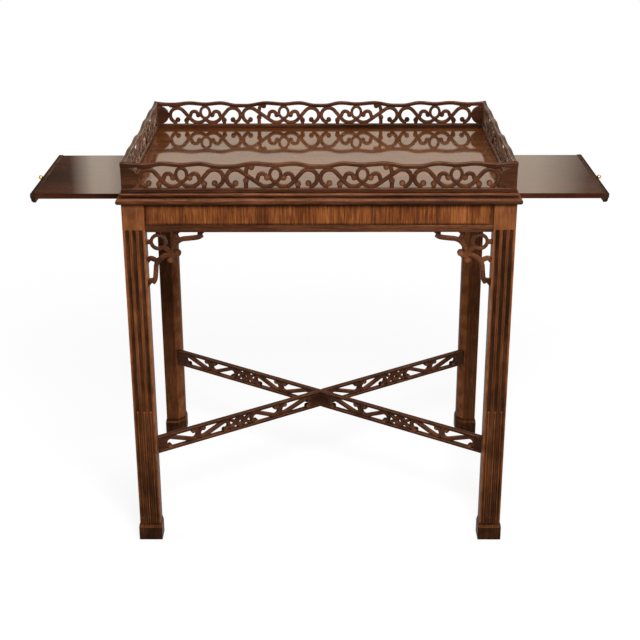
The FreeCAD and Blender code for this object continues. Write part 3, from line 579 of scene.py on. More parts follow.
@dataclass
class Tree:
    """The nodes of a material, a world or a group, with short ways to add to them."""

    owner: bpy.types.NodeTree

    def add(self, kind: str, **settings: object) -> bpy.types.Node:
        """A new node.

        Args:
            kind: The node's type.
            settings: Values of its own settings.

        Returns:
            The node.
        """
        node = self.owner.nodes.new(kind)
        for name, value in settings.items():
            setattr(node, name, value)
        return node

    def feed(self, socket: bpy.types.NodeSocket, value: object) -> None:
        """Link an input to a socket, or set it to a plain value.

        Args:
            socket: The input.
            value: A socket, or a number, a vector or a colour.
        """
        if isinstance(value, bpy.types.NodeSocket):
            self.owner.links.new(value, socket)
        else:
            socket.default_value = value

    def fed(self, node: bpy.types.Node, **values: object) -> bpy.types.Node:
        """A node with its inputs fed.

        Args:
            node: The node.
            values: What each input gets, by its name with _ for a space.

        Returns:
            The same node.
        """
        for name, value in values.items():
            self.feed(node.inputs[name.replace("_", " ")], value)
        return node

    def math(self, operation: str, *values: object) -> bpy.types.NodeSocket:
        """A sum on one or two values.

        Args:
            operation: The kind of sum.
            values: Sockets or numbers.

        Returns:
            The socket with the result.
        """
        node = self.add("ShaderNodeMath", operation=operation)
        for socket, value in zip(node.inputs, values):
            self.feed(socket, value)
        return node.outputs["Value"]

    def spread(self, value: bpy.types.NodeSocket, start: float = 0.0, end: float = 1.0,
               low: float = 0.0, high: float = 1.0) -> bpy.types.NodeSocket:
        """A value carried from one span to another and held within it.

        Args:
            value: The socket with the value.
            start: Where the first span starts.
            end: Where it ends.
            low: What its start becomes.
            high: What its end becomes.

        Returns:
            The socket with the result.
        """
        node = self.add("ShaderNodeMapRange")
        self.fed(node, Value=value, From_Min=start, From_Max=end, To_Min=low, To_Max=high)
        return node.outputs["Result"]

    def noise(self, place: bpy.types.NodeSocket, scale: float, detail: float,
              rough: float = 0.5) -> bpy.types.NodeSocket:
        """A soft noise over a place.

        Args:
            place: The socket with the place.
            scale: How fine the noise is.
            detail: How many finer layers it has.
            rough: How strong these are.

        Returns:
            The socket with the noise.
        """
        node = self.add("ShaderNodeTexNoise")
        self.fed(node, Vector=place, Scale=scale, Detail=detail, Roughness=rough)
        return node.outputs["Fac"]

    def mixed(self, share: bpy.types.NodeSocket, first: object, second: object) -> bpy.types.NodeSocket:
        """Two colours mixed.

        Args:
            share: The socket with the second colour's share.
            first: A colour, or a socket with one.
            second: The same.

        Returns:
            The socket with the colour.
        """
        node = self.add("ShaderNodeMix", data_type="RGBA")
        for index, value in ((0, share), (6, first), (7, second)):
            self.feed(node.inputs[index], value)
        return node.outputs[2]


def new_material(name: str) -> tuple[bpy.types.Material, Tree]:
    """A new material.

    Args:
        name: The material's name.

    Returns:
        The material, and its tree of nodes.
    """
    material = bpy.data.materials.new(name)
    material.use_nodes = True
    return material, Tree(material.node_tree)


@dataclass
class Finishes:
    """Makes each material once, from shared groups of nodes. Lengths in millimetres."""

    made: dict[str, bpy.types.Material] = field(default_factory=dict)
    groups: dict[str, bpy.types.NodeTree] = field(default_factory=dict)
    # Painted shade and grime at the ends of a frieze board, and painted shadow along its lower and upper
    # edges.
    end_shade_and_grime: float = 16.0
    low_shadow: tuple[float, float] = (5.0, 0.5)
    high_shadow: float = 6.0
    gloss: tuple[float, float] = (0.8, 1.25)
    pore_strength: float = 0.12
    pore_depth: float = 0.2
    facing_up: tuple[float, float] = (0.6, 0.95)
    brass_dull: tuple[float, float] = (0.22, 0.45)
    patches: tuple[float, float] = (0.35, 0.65)
    patch_detail: float = 3.0

    def group(self, name: str, marks: tuple[str, ...],
              results: tuple[str, ...]) -> tuple[Tree, bpy.types.Node, bpy.types.Node]:
        """A new group that takes a place and some marks.

        Args:
            name: The group's name.
            marks: Names of the marks.
            results: Names of the values that it gives.

        Returns:
            The group's tree, the node of its inputs and the node of its outputs.
        """
        made = bpy.data.node_groups.new(name, "ShaderNodeTree")
        made.interface.new_socket("Vector", in_out="INPUT", socket_type="NodeSocketVector")
        for way, labels in (("INPUT", marks), ("OUTPUT", results)):
            for label in labels:
                made.interface.new_socket(label, in_out=way, socket_type="NodeSocketFloat")
        self.groups[name] = made
        tree = Tree(made)
        return tree, tree.add("NodeGroupInput"), tree.add("NodeGroupOutput")

    def figure(self) -> bpy.types.NodeTree:
        """The group that draws wood figure: four noises stretched along X, for broad tone, fine
        fibres, short pores and stains.

        Returns:
            The group, with Tone, Fibre, Pores and Stain as values.
        """
        name = "timber figure"
        if name not in self.groups:
            tree, source, drain = self.group(name, (), tuple(layer.name for layer in FIGURE))
            for layer in FIGURE:
                scale = tree.add("ShaderNodeVectorMath", operation="MULTIPLY")
                tree.feed(scale.inputs[0], source.outputs["Vector"])
                tree.feed(scale.inputs[1], layer.stretch)
                noise = tree.noise(scale.outputs[0], 1.0, layer.detail, layer.rough)
                tree.feed(drain.inputs[layer.name], tree.spread(noise, *layer.span))
        return self.groups[name]

    def patchy_marks(self) -> bpy.types.NodeTree:
        """The group that breaks up the painted highlight and wear, and the painted shade and grime: each
        mark times a noise, which never falls under a floor of its own.

        Returns:
            The group, with Rubbed and PatchyShadeAndDirt as values.
        """
        name = "patchy_marks"
        if name not in self.groups:
            marks = tuple(kind.mark for kind in MARK_NOISES)
            results = tuple(kind.result for kind in MARK_NOISES)
            tree, source, drain = self.group(name, marks, results)
            for kind in MARK_NOISES:
                noise = tree.noise(source.outputs["Vector"], kind.scale, self.patch_detail)
                patches = tree.spread(noise, *self.patches, low=kind.floor)
                product = tree.math("MULTIPLY", patches, source.outputs[kind.mark])
                product.node.use_clamp = True
                tree.feed(drain.inputs[kind.result], product)
        return self.groups[name]

    def border(self, tree: Tree, edges: FrameEdges) -> bpy.types.NodeSocket:
        """How near a place is to the joints round a board: the largest of the ramps towards its
        ends, its lower and its upper edge.

        Args:
            tree: The material's tree.
            edges: Where the joints are.

        Returns:
            The socket with the share of painted shade and shadow, with some grime at the ends.
        """
        place = tree.add("ShaderNodeTexCoord").outputs["Object"]
        split = tree.fed(tree.add("ShaderNodeSeparateXYZ"), Vector=place).outputs
        ramps = [
            tree.spread(source, start * MM, end * MM)
            for source, start, end in (
                (tree.math("ABSOLUTE", split[edges.axis]), edges.half - self.end_shade_and_grime, edges.half),
                (split["Z"], edges.low + self.low_shadow[0], edges.low + self.low_shadow[1]),
                (split["Z"], edges.high - self.high_shadow, edges.high),
            )
        ]
        return tree.math("MAXIMUM", tree.math("MAXIMUM", ramps[0], ramps[1]), ramps[2])

    def wood(self, finish: WoodFinish, grain: Grain, edges: FrameEdges | None = None) -> bpy.types.Material:
        """A polished wood with its grain one way.

        Args:
            finish: Colours, figure and polish.
            grain: Direction of the grain.
            edges: The joints round the board, where painted shade and grime darken it, or None.

        Returns:
            The material.
        """
        name = f"{finish.name}_{grain.name.lower()}" + (f"_{edges.axis.lower()}" if edges else "")
        if name in self.made:
            return self.made[name]
        material, tree = new_material(name)
        shader = material.node_tree.nodes["Principled BSDF"]
        place = tree.add("ShaderNodeTexCoord").outputs["Object"]
        turn = [math.radians(degrees) for degrees in grain.value]
        lay = tree.fed(tree.add("ShaderNodeMapping"), Vector=place, Rotation=turn)
        figure = tree.fed(
            tree.add("ShaderNodeGroup", node_tree=self.figure()), Vector=lay.outputs["Vector"]
        )
        patched = tree.fed(tree.add("ShaderNodeGroup", node_tree=self.patchy_marks()), Vector=place)
        for mark, socket in ((Mark.WORN, "Worn"), (Mark.HOLLOW, "Hollow")):
            reader = tree.add("ShaderNodeAttribute", attribute_name=mark.value)
            tree.feed(patched.inputs[socket], reader.outputs["Fac"])
        # Near the joints, painted shade and shadow take the place of the mark.
        if edges:
            tree.feed(patched.inputs["Hollow"], self.border(tree, edges))
        masks = {socket.name: socket for node in (figure, patched) for socket in node.outputs}
        blend = tree.add("ShaderNodeMix", data_type="FLOAT")
        tree.feed(blend.inputs[0], 1 - finish.ribbon)
        tree.feed(blend.inputs[2], masks["Fibre"])
        tree.feed(blend.inputs[3], masks["Tone"])
        ramp = tree.fed(tree.add("ShaderNodeValToRGB"), Fac=blend.outputs[0])
        stops = ramp.color_ramp.elements
        stops[0].color, stops[1].color = colour(*finish.dark), colour(*finish.light)
        stops.new(0.5).color = colour(*finish.middle)
        shade = ramp.outputs["Color"]
        for tint in TINTS:
            amount = tree.math("MULTIPLY", masks[tint.mask], tint.strength)
            over = [min(255, part * tint.factor) for part in getattr(finish, tint.base)]
            shade = tree.mixed(amount, shade, colour(*over))
        bump = tree.add("ShaderNodeBump", invert=True)
        tree.fed(bump, Strength=self.pore_strength, Distance=self.pore_depth * MM, Height=masks["Pores"])
        dull = [finish.dull * part for part in self.gloss]
        rough = tree.spread(masks["Tone"], low=dull[0], high=dull[1])
        tree.fed(shader, Base_Color=shade, Roughness=rough, Normal=bump.outputs["Normal"])
        shader.inputs["Specular IOR Level"].default_value = finish.level
        if finish.polish > 0:
            normal = tree.add("ShaderNodeNewGeometry").outputs["Normal"]
            split = tree.fed(tree.add("ShaderNodeSeparateXYZ"), Vector=normal)
            upward = tree.spread(split.outputs["Z"], *self.facing_up, high=finish.polish)
            tree.fed(shader, Coat_Weight=upward)
            shader.inputs["Coat IOR"].default_value = finish.polish_index
            shader.inputs["Coat Roughness"].default_value = finish.polish_dull
        self.made[name] = material
        return material

    def brass(self, finish: BrassFinish) -> bpy.types.Material:
        """A brass that is darker in its hollows.

        Args:
            finish: Its colours.

        Returns:
            The material.
        """
        if finish.name in self.made:
            return self.made[finish.name]
        material, tree = new_material(finish.name)
        shader = material.node_tree.nodes["Principled BSDF"]
        place = tree.add("ShaderNodeTexCoord").outputs["Object"]
        reader = tree.add("ShaderNodeAttribute", attribute_name=Mark.HOLLOW.value)
        patched = tree.add("ShaderNodeGroup", node_tree=self.patchy_marks())
        tree.fed(patched, Vector=place, Hollow=reader.outputs["Fac"])
        grime = patched.outputs["PatchyShadeAndDirt"]
        shade = tree.mixed(grime, colour(*finish.light), colour(*finish.dark))
        rough = tree.spread(grime, low=self.brass_dull[0], high=self.brass_dull[1])
        tree.fed(shader, Base_Color=shade, Roughness=rough)
        shader.inputs["Metallic"].default_value = 1.0
        self.made[finish.name] = material
        return material


def make_piece(name: str, surface: Surface, material: bpy.types.Material, body: str,
               nodes: tuple[str, ...]) -> None:
    """Put a surface into a mesh that rides on a body and stands for some nodes.

    Args:
        name: The piece's name.
        surface: Its points, faces and marks.
        material: Its finish.
        body: The body that it moves with.
        nodes: The nodes that it stands for.
    """
    mesh = bpy.data.meshes.new(name)
    mesh.from_pydata((surface.points * MM).tolist(), [], surface.faces)
    for mark, values in ((Mark.WORN, surface.worn), (Mark.HOLLOW, surface.hollow)):
        layer = mesh.attributes.new(mark.value, "FLOAT", "POINT")
        layer.data.foreach_set("value", values.astype(np.float32))
    mesh.materials.append(material)
    mesh.update()
    mesh.shade_smooth()
    mesh.set_sharp_from_angle(angle=math.radians(SHARP_ANGLE))
    piece = bpy.data.objects.new(name, mesh)
    bpy.context.scene.collection.objects.link(piece)
    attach(piece, body)
    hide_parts(*nodes)
    LOG.info("%s: %d points", name, len(surface.points))


def dress(node: str, material: bpy.types.Material, bevel: float) -> None:
    """Give a node of the frame its finish and small soft edges.

    Args:
        node: The node's name.
        material: Its finish.
        bevel: Width of its soft edges in millimetres.
    """
    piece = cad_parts[node]
    piece.data.materials.clear()
    piece.data.materials.append(material)
    weld = piece.modifiers.new("weld", "WELD")
    weld.merge_threshold = WELD * MM
    edges = piece.modifiers.new("soft edges", "BEVEL")
    edges.width = bevel * MM
    edges.segments = 2
    edges.limit_method = "ANGLE"
    edges.angle_limit = math.radians(SOFT_ANGLE)
    edges.use_clamp_overlap = True
    LOG.info("%s dressed in %s", node, material.name)


@dataclass
class Gallery:
    """Four pierced panels round the tray, mitred at the corners. Sizes in millimetres."""

    table: TableSizes
    finishes: Finishes
    thick: float = 7.0
    inset: float = 2.0
    base: float = 8.6
    cap: float = 7.0
    low: float = 51.0
    crest: float = 56.6
    dip: float = 54.1
    end: float = 57.0
    end_low: float = 53.8
    full: float = 1.5
    corner: float = 30.0
    unit: float = 76.5
    stem_room: float = 12.0
    stem_bend: float = 8.0
    stem_reach: float = 10.2
    strand: float = 6.0
    oval_strand: float = 4.4
    lap: float = 0.3
    scroll: float = 15.7
    cradle: float = 19.5
    cradle_back: float = 15.3
    oval_wide: float = 9.7
    oval_tall: float = 12.3
    curl: float = 7.4
    curl_drop: float = 3.0
    hook: float = 6.2
    eye: float = 5.2
    dusty: float = 0.42
    hump_start: float = 0.11
    hump_top: float = 0.58
    stem_unit: int = 2
    hook_root: float = 1.0
    diagonal_back: float = 0.05
    hook_back: float = 0.25
    curl_back: float = 0.2
    oval_back: float = 0.12
    cap_over: float = 0.4
    sweep: float = 1.6
    sweep_steps: int = 9
    wave_steps: int = 22
    base_steps: int = 60
    board_low: float = 0.2
    board_bevel: float = 0.4
    end_rubbed: float = 1.3

    def wave(self, share: np.ndarray, low: float) -> np.ndarray:
        """Upper edge over half a unit: half a cosine up from the low to the crest, then half a
        cosine down to the dip over the oval.

        Args:
            share: Places along the half unit, from 0 at the scrolls to 1 at the oval.
            low: Height at the scrolls.

        Returns:
            Heights over the tray.
        """
        climbed = ramp(share, self.hump_start, self.hump_top - self.hump_start)
        sunk = ramp(share, self.hump_top, 1 - self.hump_top)
        rise = (self.crest - low) * (1 - np.cos(np.pi * climbed)) / 2
        fall = (self.crest - self.dip) * (1 - np.cos(np.pi * sunk)) / 2
        return low + rise - fall

    def half_unit(self, length: float, stemmed: bool) -> list[Stroke | Dot]:
        """Strands of half a unit, from where two scrolls meet to the oval. The diagonal is the
        common tangent of the large scroll and of the cradle under the oval.

        Args:
            length: Length of the half unit.
            stemmed: Whether a stem rises from its diagonal.

        Returns:
            Strokes and dots, with heights over the lower rail.
        """
        strand = self.strand
        centre = (self.scroll + strand / 2 - self.lap, self.scroll + strand / 2 - 2 * self.lap)
        under = (length - self.cradle_back, self.cradle + strand / 2 - self.lap)
        away = (under[0] - centre[0], under[1] - centre[1])
        lean = math.degrees(
            math.atan2(away[1], away[0]) - math.asin((self.scroll + self.cradle) / math.hypot(*away))
        )
        leaves = arc(centre, self.scroll, 265, 90 + lean)
        lands = arc(under, self.cradle, lean - 90, -math.degrees(math.acos(self.cradle_back / self.cradle)))
        head, foot = leaves[-1], lands[0]

        def diagonal(x: float) -> float:
            """Height of the diagonal over a place along it."""
            return head[1] + (foot[1] - head[1]) * (x - head[0]) / (foot[0] - head[0])

        hook_x = 2 * centre[0] + self.hook
        hook_z = diagonal(hook_x) - self.hook
        hook_path = arc((hook_x, hook_z), self.hook, 80, 180)
        hook_path = np.concatenate([hook_path, [(hook_path[-1][0], -self.hook_root)]])
        curl_centre = (length - self.oval_wide - strand - self.curl, under[1] - self.curl_drop)
        root = curl_centre[0] - self.curl - strand / 2
        curl_path = np.concatenate([[(root, diagonal(root))], arc(curl_centre, self.curl, 180, 15)])
        ceiling = self.dip - self.base - self.cap
        oval = (length, ceiling - self.oval_tall - self.oval_strand / 2 + self.lap)
        ring_path = arc(oval, self.oval_wide, 90, 270, self.oval_tall)
        drawn: list[Stroke | Dot] = [
            Stroke(np.concatenate([leaves, lands]), strand + self.full, self.diagonal_back),
            Stroke(hook_path, strand + self.full, self.hook_back),
            Stroke(curl_path, strand + self.full, self.curl_back),
            Stroke(ring_path, self.oval_strand + self.full, self.oval_back),
            Dot((centre[0], strand + self.eye / 2), self.eye),
            Dot((hook_x - self.hook, hook_z), self.eye),
            Dot((length - self.oval_wide - self.oval_strand / 2 - self.eye / 2, curl_centre[1]), self.eye),
        ]
        if stemmed:
            over = self.crest - self.base - self.cap
            stem_x = hook_x - self.hook
            bend = self.stem_bend
            tip = stem_x + self.stem_reach
            places = [
                (stem_x, diagonal(stem_x)),
                (stem_x + bend / 8, over - bend),
                (stem_x + bend / 2, over - bend / 4),
                (tip, over),
            ]
            drawn.append(Stroke(flowing(np.array(places)), strand + self.full, self.hook_back))
            drawn.append(Dot((tip, over - self.eye / 2), self.eye))
        return drawn

    def corner_block(self) -> np.ndarray:
        """Outline of the solid end: a post with the half disc that fills the space beside the first
        scroll. x runs in from the end.

        Returns:
            Corners, anticlockwise.
        """
        high = self.end_low - self.cap / 2
        reach = self.scroll + self.strand / 2
        middle = (self.corner - reach, self.base + reach)
        post = self.corner - self.scroll
        return np.concatenate(
            [
                [(0, self.board_low), (middle[0], self.board_low)],
                arc(middle, reach, -90, 80),
                [(post, high), (0, high)],
            ]
        )

    def panel(self, half: float) -> Surface:
        """One panel in its own plane: x along it from its middle, y from its front to its back.

        Args:
            half: Half the panel's length.

        Returns:
            The panel's surface, mitred by holding x within half less the depth.
        """
        units = max(1, round((half - self.corner) / (2 * self.unit)))
        room = self.stem_room if units > 1 else 0.0
        lengths = [(half - self.corner - room) / (2 * units)] * (2 * units)
        if units > 1:
            lengths[self.stem_unit] += room
        drawn: list[Stroke | Dot] = []
        boards = []
        for way in (-1, 1):
            block = self.corner_block()
            boards.append(fret_board(block, -way * half, way, self.thick, self.board_bevel))
            place = self.corner
            for index, length in enumerate(lengths):
                onward = index % 2 == 0
                start = -way * half + way * (place if onward else place + length)
                facing = way if onward else -way
                stemmed = units > 1 and index == self.stem_unit
                drawn += [one.placed(start, facing, self.base) for one in self.half_unit(length, stemmed)]
                place += length
        x, top, under = self.cap_line(half, lengths)
        near, far = -self.cap_over, self.thick + self.cap_over
        pieces = [one.surface(self.thick) for one in drawn] + boards
        pieces.append(rail(x, under, top, near, far))
        level = np.linspace(-half, half, self.base_steps)
        pieces.append(rail(level, np.zeros(len(level)), np.full(len(level), self.base), 0.0, self.thick))
        panel = joined(pieces)
        limit = half - np.clip(panel.points[:, 1], near, far)
        panel.points[:, 0] = np.clip(panel.points[:, 0], -limit, limit)
        return panel

    def cap_line(self, half: float, lengths: list[float]) -> tuple[np.ndarray, np.ndarray, np.ndarray]:
        """The upper rail along a panel: a sweep up to the corner, then the wave of each half unit.

        Args:
            half: Half the panel's length.
            lengths: Lengths of the half units from the corner to the middle.

        Returns:
            Places along the panel, and the rail's upper and lower heights there.
        """
        share = np.linspace(0, 1, self.wave_steps)[1:]
        rise = np.linspace(0, 1, self.sweep_steps)
        x = [self.corner * rise]
        top = [self.end_low + (self.end - self.end_low) * (1 - rise) ** self.sweep]
        under = [np.full(len(rise), self.end_low - self.cap)]
        place = self.corner
        for index, length in enumerate(lengths):
            along = share if index % 2 == 0 else 1 - share
            low = self.end_low if index == 0 else self.low
            x.append(place + length * share)
            top.append(self.wave(along, low))
            under.append(self.wave(along, self.low) - self.cap)
            place += length
        left, high, down = np.concatenate(x), np.concatenate(top), np.concatenate(under)
        return (
            np.concatenate([left - half, half - left[-2::-1]]),
            np.concatenate([high, high[-2::-1]]),
            np.concatenate([down, down[-2::-1]]),
        )

    def build(self) -> None:
        """Make the four panels."""
        for side in Side:
            panel = self.panel(self.table.along(side) / 2 - self.inset)
            # On the end panels the painted shade of the strand sides becomes a pale painted sheen.
            if not side.lengthwise:
                panel.worn[:] = np.clip(np.maximum(panel.worn, self.end_rubbed * panel.hollow), 0, 1)
                panel.hollow[:] = 0.0
            elif side is Side.FRONT:
                panel.hollow[:] = np.maximum(panel.hollow, self.dusty)
            front = -self.table.across(side) / 2 + self.inset
            placed = panel.moved(0, front, self.table.tray).turned(side.value)
            material = self.finishes.wood(FRETWORK if side.lengthwise else FRETWORK_END, side.grain)
            name = f"gallery_{side.label}"
            make_piece(f"pierced_{name}", placed, material, "table", (name,))


@dataclass
class Brackets:
    """Eight pierced brackets in the corners under the frieze, each the same about its diagonal.
    Places are shares of the reach: along the frieze, then down from it."""

    table: TableSizes
    finishes: Finishes
    reach: float = 108.0
    thick: float = 8.0
    inset: float = 7.0
    ring: float = 12.9
    ring_strand: float = 6.2
    strand: float = 8.8
    hub: float = 0.2
    link: float = 0.4
    limb: tuple[tuple[float, float], ...] = (
        (0.93, 0.075), (0.865, 0.115), (0.72, 0.135), (0.6, 0.15), (0.52, 0.195),
        (0.455, 0.28), (0.425, 0.36), (0.45, 0.43), (0.51, 0.435),
    )
    foot: tuple[tuple[float, float], ...] = (
        (0.84, 0.15), (0.9, 0.135), (0.93, 0.06), (0.96, 0.035), (1.0, 0.0), (0.86, 0.0), (0.855, 0.06)
    )
    curl: tuple[tuple[float, float], ...] = (
        (0.54, 0.0), (0.5, 0.035), (0.495, 0.08), (0.525, 0.14), (0.56, 0.165)
    )
    eye: tuple[float, float] = (0.515, 0.395)
    eye_radius: float = 6.2
    curl_back: float = 0.25
    stem_back: float = 0.3
    flip_back: float = 0.06
    ring_back: float = 0.12
    link_back: float = 0.35
    board_bevel: float = 0.6

    def drawn(self) -> tuple[list[Stroke | Dot], list[np.ndarray]]:
        """The bracket's strands and its two pointed feet.

        Returns:
            Strokes and dots, and outlines of boards: x from the leg, z from the frieze, down as a minus.
        """
        strokes: list[Stroke | Dot] = []
        boards = []
        middle = self.hub * self.reach
        rim = middle + self.ring * math.sqrt(0.5)
        paths = [
            (flowing(np.array(self.limb) * self.reach), 0.0),
            (flowing(np.array(self.curl) * self.reach), self.curl_back),
            (np.array([(middle, 0.0), (middle, middle - self.ring)]), self.stem_back),
        ]
        for flip in (False, True):
            for path, back in paths:
                spots = path[:, ::-1] if flip else path
                set_back = back + (self.flip_back if flip else 0.0)
                strokes.append(Stroke(spots * np.array([1, -1]), self.strand, set_back))
            eye = self.eye[::-1] if flip else self.eye
            strokes.append(Dot((eye[0] * self.reach, -eye[1] * self.reach), self.eye_radius))
            foot = np.array(self.foot) * self.reach
            spots = (foot[:, ::-1] if flip else foot) * np.array([1, -1])
            boards.append(spots[::-1] if flip else spots)
        strokes.append(Stroke(arc((middle, -middle), self.ring, 0, 360), self.ring_strand, self.ring_back))
        end = self.link * self.reach
        strokes.append(Stroke(np.array([(rim, -rim), (end, -end)]), self.strand, self.link_back))
        return strokes, boards

    def build(self) -> None:
        """Make the eight brackets."""
        strokes, boards = self.drawn()
        names = {
            Side.FRONT: ("left", "right"), Side.RIGHT: ("front", "rear"),
            Side.REAR: ("right", "left"), Side.LEFT: ("rear", "front"),
        }
        for side in Side:
            inner = self.table.along(side) / 2 - self.table.leg
            front = -self.table.across(side) / 2 + self.inset
            material = self.finishes.wood(FRETWORK, side.grain)
            for way, end in zip((1, -1), names[side]):
                name = f"bracket_{side.label}_{end}"
                start = -way * inner
                pieces = [one.placed(start, way, 0).surface(self.thick) for one in strokes]
                pieces += [fret_board(spots, start, way, self.thick, self.board_bevel) for spots in boards]
                placed = joined(pieces).moved(0, front, self.table.apron_low).turned(side.value)
                low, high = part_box(name)
                box = np.array([low, high]) / MM
                placed.points[:] = np.clip(placed.points, box[0], box[1])
                make_piece(f"pierced_{name}", placed, material, "table", (name,))


@dataclass
class Legs:
    """Four square legs: flutes in the two outer faces, filled by reeds lower down, and a foot cuff.
    Sizes in millimetres."""

    table: TableSizes
    finishes: Finishes
    chamfer: float = 13.0
    pitch: float = 12.2
    cutter: float = 4.7
    depth: float = 2.2
    bottom: float = 47.0
    top: float = 640.0
    runout: float = 40.0
    reed: float = 3.0
    reed_set: float = 0.5
    reed_top: float = 279.0
    arris: float = 0.8
    line: float = 0.45
    # Painted shade deepens from this height down to the foot.
    dark_below: float = 420.0
    dark_power: float = 0.4
    top_worn: float = 0.3
    top_line: float = 3.0
    crest_half: float = 0.9
    crest_worn: float = 0.7
    tip_half: float = 1.6
    tip_worn: float = 0.5
    flute_steps: int = 17
    flute_fill: float = 1.3
    flute_shade: float = 0.9
    chamfer_soft: float = 0.6
    arris_share: float = 0.28
    cuff_soft: float = 0.7
    # Each row: way out, height, painted highlight, painted shade.
    cuff_lines: tuple[tuple[float, float, float, float], ...] = (
        (1.5, 0.0, 0.2, 1.0), (2.15, 0.3, 0.4, 1.0), (2.4, 1.0, 0.0, 0.95), (2.4, 27.4, 0.0, 0.95),
        (2.3, 28.2, 0.45, 0.6), (1.9, 28.7, 0.3, 0.7), (1.2, 29.0, 0.0, 1.0), (1.0, 29.5, 0.0, 1.0),
        (1.1, 30.0, 0.0, 1.0), (1.9, 30.2, 0.3, 0.8), (2.05, 30.7, 0.45, 0.5), (1.95, 31.3, 0.2, 0.6),
        (1.35, 32.6, 0.0, 0.9), (0.85, 34.0, 0.0, 1.0), (0.5, 35.6, 0.0, 1.0), (0.3, 36.9, 0.0, 1.0),
        (-0.6, 37.0, 0.0, 1.0),
    )
    fine_rows: int = 14
    plain_rows: tuple[float, ...] = (1.0, 30.0, 120.0, 200.0, 400.0, 520.0, 665.0)
    plain_worn: tuple[float, ...] = (0.1, 0.1, 0.5, 0.5, 0.1, 0.1)
    plain_shade: float = 0.7

    def flute_half(self) -> float:
        """Half a flute's width: half the chord that the face cuts off the round cutter."""
        return math.sqrt(self.cutter**2 - (self.cutter - self.depth) ** 2)

    def heights(self) -> np.ndarray:
        """Heights of the leg's rows: a few along the plain lengths, and many where the flutes and
        reeds start and end.

        Returns:
            The heights in order.
        """
        spans = (
            (self.bottom - 0.4, self.bottom + 5),
            (self.reed_top - 4, self.reed_top + 0.4),
            (self.top - 0.5, self.top + 3.4),
        )
        fine = [np.linspace(low, high, self.fine_rows) for low, high in spans]
        return np.sort(np.concatenate([self.plain_rows, [self.table.leg_top - 0.1], *fine]))

    def groove(self, s: np.ndarray, z: np.ndarray) -> np.ndarray:
        """Depth of the face: the flute is a round cutter's path, with a ball's end below and a
        leaning run-out above, and the reed a rod with domed ends in it; the nearer of both counts.

        Args:
            s: Distances from the nearest flute's middle.
            z: Heights.

        Returns:
            Depths, as an array of heights by distances.
        """
        s2 = s[None, :] ** 2
        below = np.maximum(self.bottom + self.flute_half() - z, 0)[:, None] ** 2
        ball = np.sqrt(np.maximum(self.cutter**2 - s2 - below, 0))
        lean = np.maximum(z - self.top, 0)[:, None] * math.tan(math.radians(self.runout))
        flute = np.maximum(ball - (self.cutter - self.depth) - lean, 0)
        over = np.maximum(z - (self.reed_top - self.reed), 0)[:, None] ** 2
        under = np.maximum(self.bottom + self.reed - z, 0)[:, None] ** 2
        rod = self.reed**2 - s2 - over - under
        filled = self.reed + self.reed_set - np.sqrt(np.maximum(rod, 0))
        return np.where(rod > 0, np.minimum(flute, filled), flute)

    def shaft(self) -> Surface:
        """A leg with its outer corner at the origin: its outline at each height, with the two
        fluted faces sunk by the groove.

        Returns:
            The leg's surface.
        """
        side, half, z = self.table.leg, self.flute_half(), self.heights()

        def rows(values: np.ndarray) -> np.ndarray:
            """The same values at every height."""
            return np.tile(values, (len(z), 1))

        step = -half * np.cos(np.linspace(0, np.pi, self.flute_steps))
        step = np.concatenate([[-half - self.line], step, [half + self.line]])
        middles = side / 2 + self.pitch * np.array([-1, 0, 1])
        across = np.concatenate([[self.arris], (middles[:, None] + step).reshape(-1), [side - self.arris]])
        offset = np.concatenate([[self.pitch], np.tile(step, 3), [self.pitch]])
        sunk = self.groove(offset, z)
        inner, cut = side - self.chamfer, self.chamfer_soft
        plain = np.array(
            [
                (side, self.arris), (side, inner - cut), (side - cut, inner + cut),
                (inner + cut, side - cut), (inner - cut, side), (self.arris, side),
            ]
        )
        corner = rows(np.array([self.arris_share * self.arris]))
        ring_x = np.concatenate([rows(across), rows(plain[:, 0]), sunk[:, ::-1], corner], axis=1)
        ring_y = np.concatenate([sunk, rows(plain[:, 1]), rows(across[::-1]), corner], axis=1)
        rings = grid(ring_x, ring_y, z[:, None])
        # Painted highlights: lines at the flute edges and outer corners, the reed crests and the reed tips,
        # and an even one on the plain top.
        edge = np.where(np.isclose(np.abs(offset), half, atol=0.02), 1.0, 0.0)
        edge[0] = edge[-1] = 1.0
        crest = np.clip(1 - np.abs(offset) / self.crest_half, 0, 1)[None] * (z < self.reed_top)[:, None]
        tip = np.clip(1 - np.abs(z - self.reed_top + self.reed / 2) / self.tip_half, 0, 1)[:, None]
        tip = tip * (np.abs(offset) < self.reed)[None]
        lit_lines = np.maximum(edge[None], np.maximum(self.crest_worn * crest, self.tip_worn * tip))
        lit_lines = np.where((z > self.top + self.top_line)[:, None], self.top_worn, lit_lines)
        worn = np.concatenate(
            [lit_lines, rows(np.array(self.plain_worn)), lit_lines[:, ::-1], np.ones((len(z), 1))], axis=1
        )
        # Painted shade that deepens towards the foot, and painted shade in the flutes; the plain faces share
        # the first.
        shade = np.clip(1 - z / self.dark_below, 0, 1)[:, None] ** self.dark_power
        darkening = np.clip(self.flute_fill * sunk / self.depth, 0, 1) * self.flute_shade
        darkening = np.maximum(darkening, shade)
        sides = np.tile(self.plain_shade * shade, (1, len(plain)))
        hollow = np.concatenate([darkening, sides, darkening[:, ::-1], shade], axis=1)
        return skin(rings, worn, hollow)

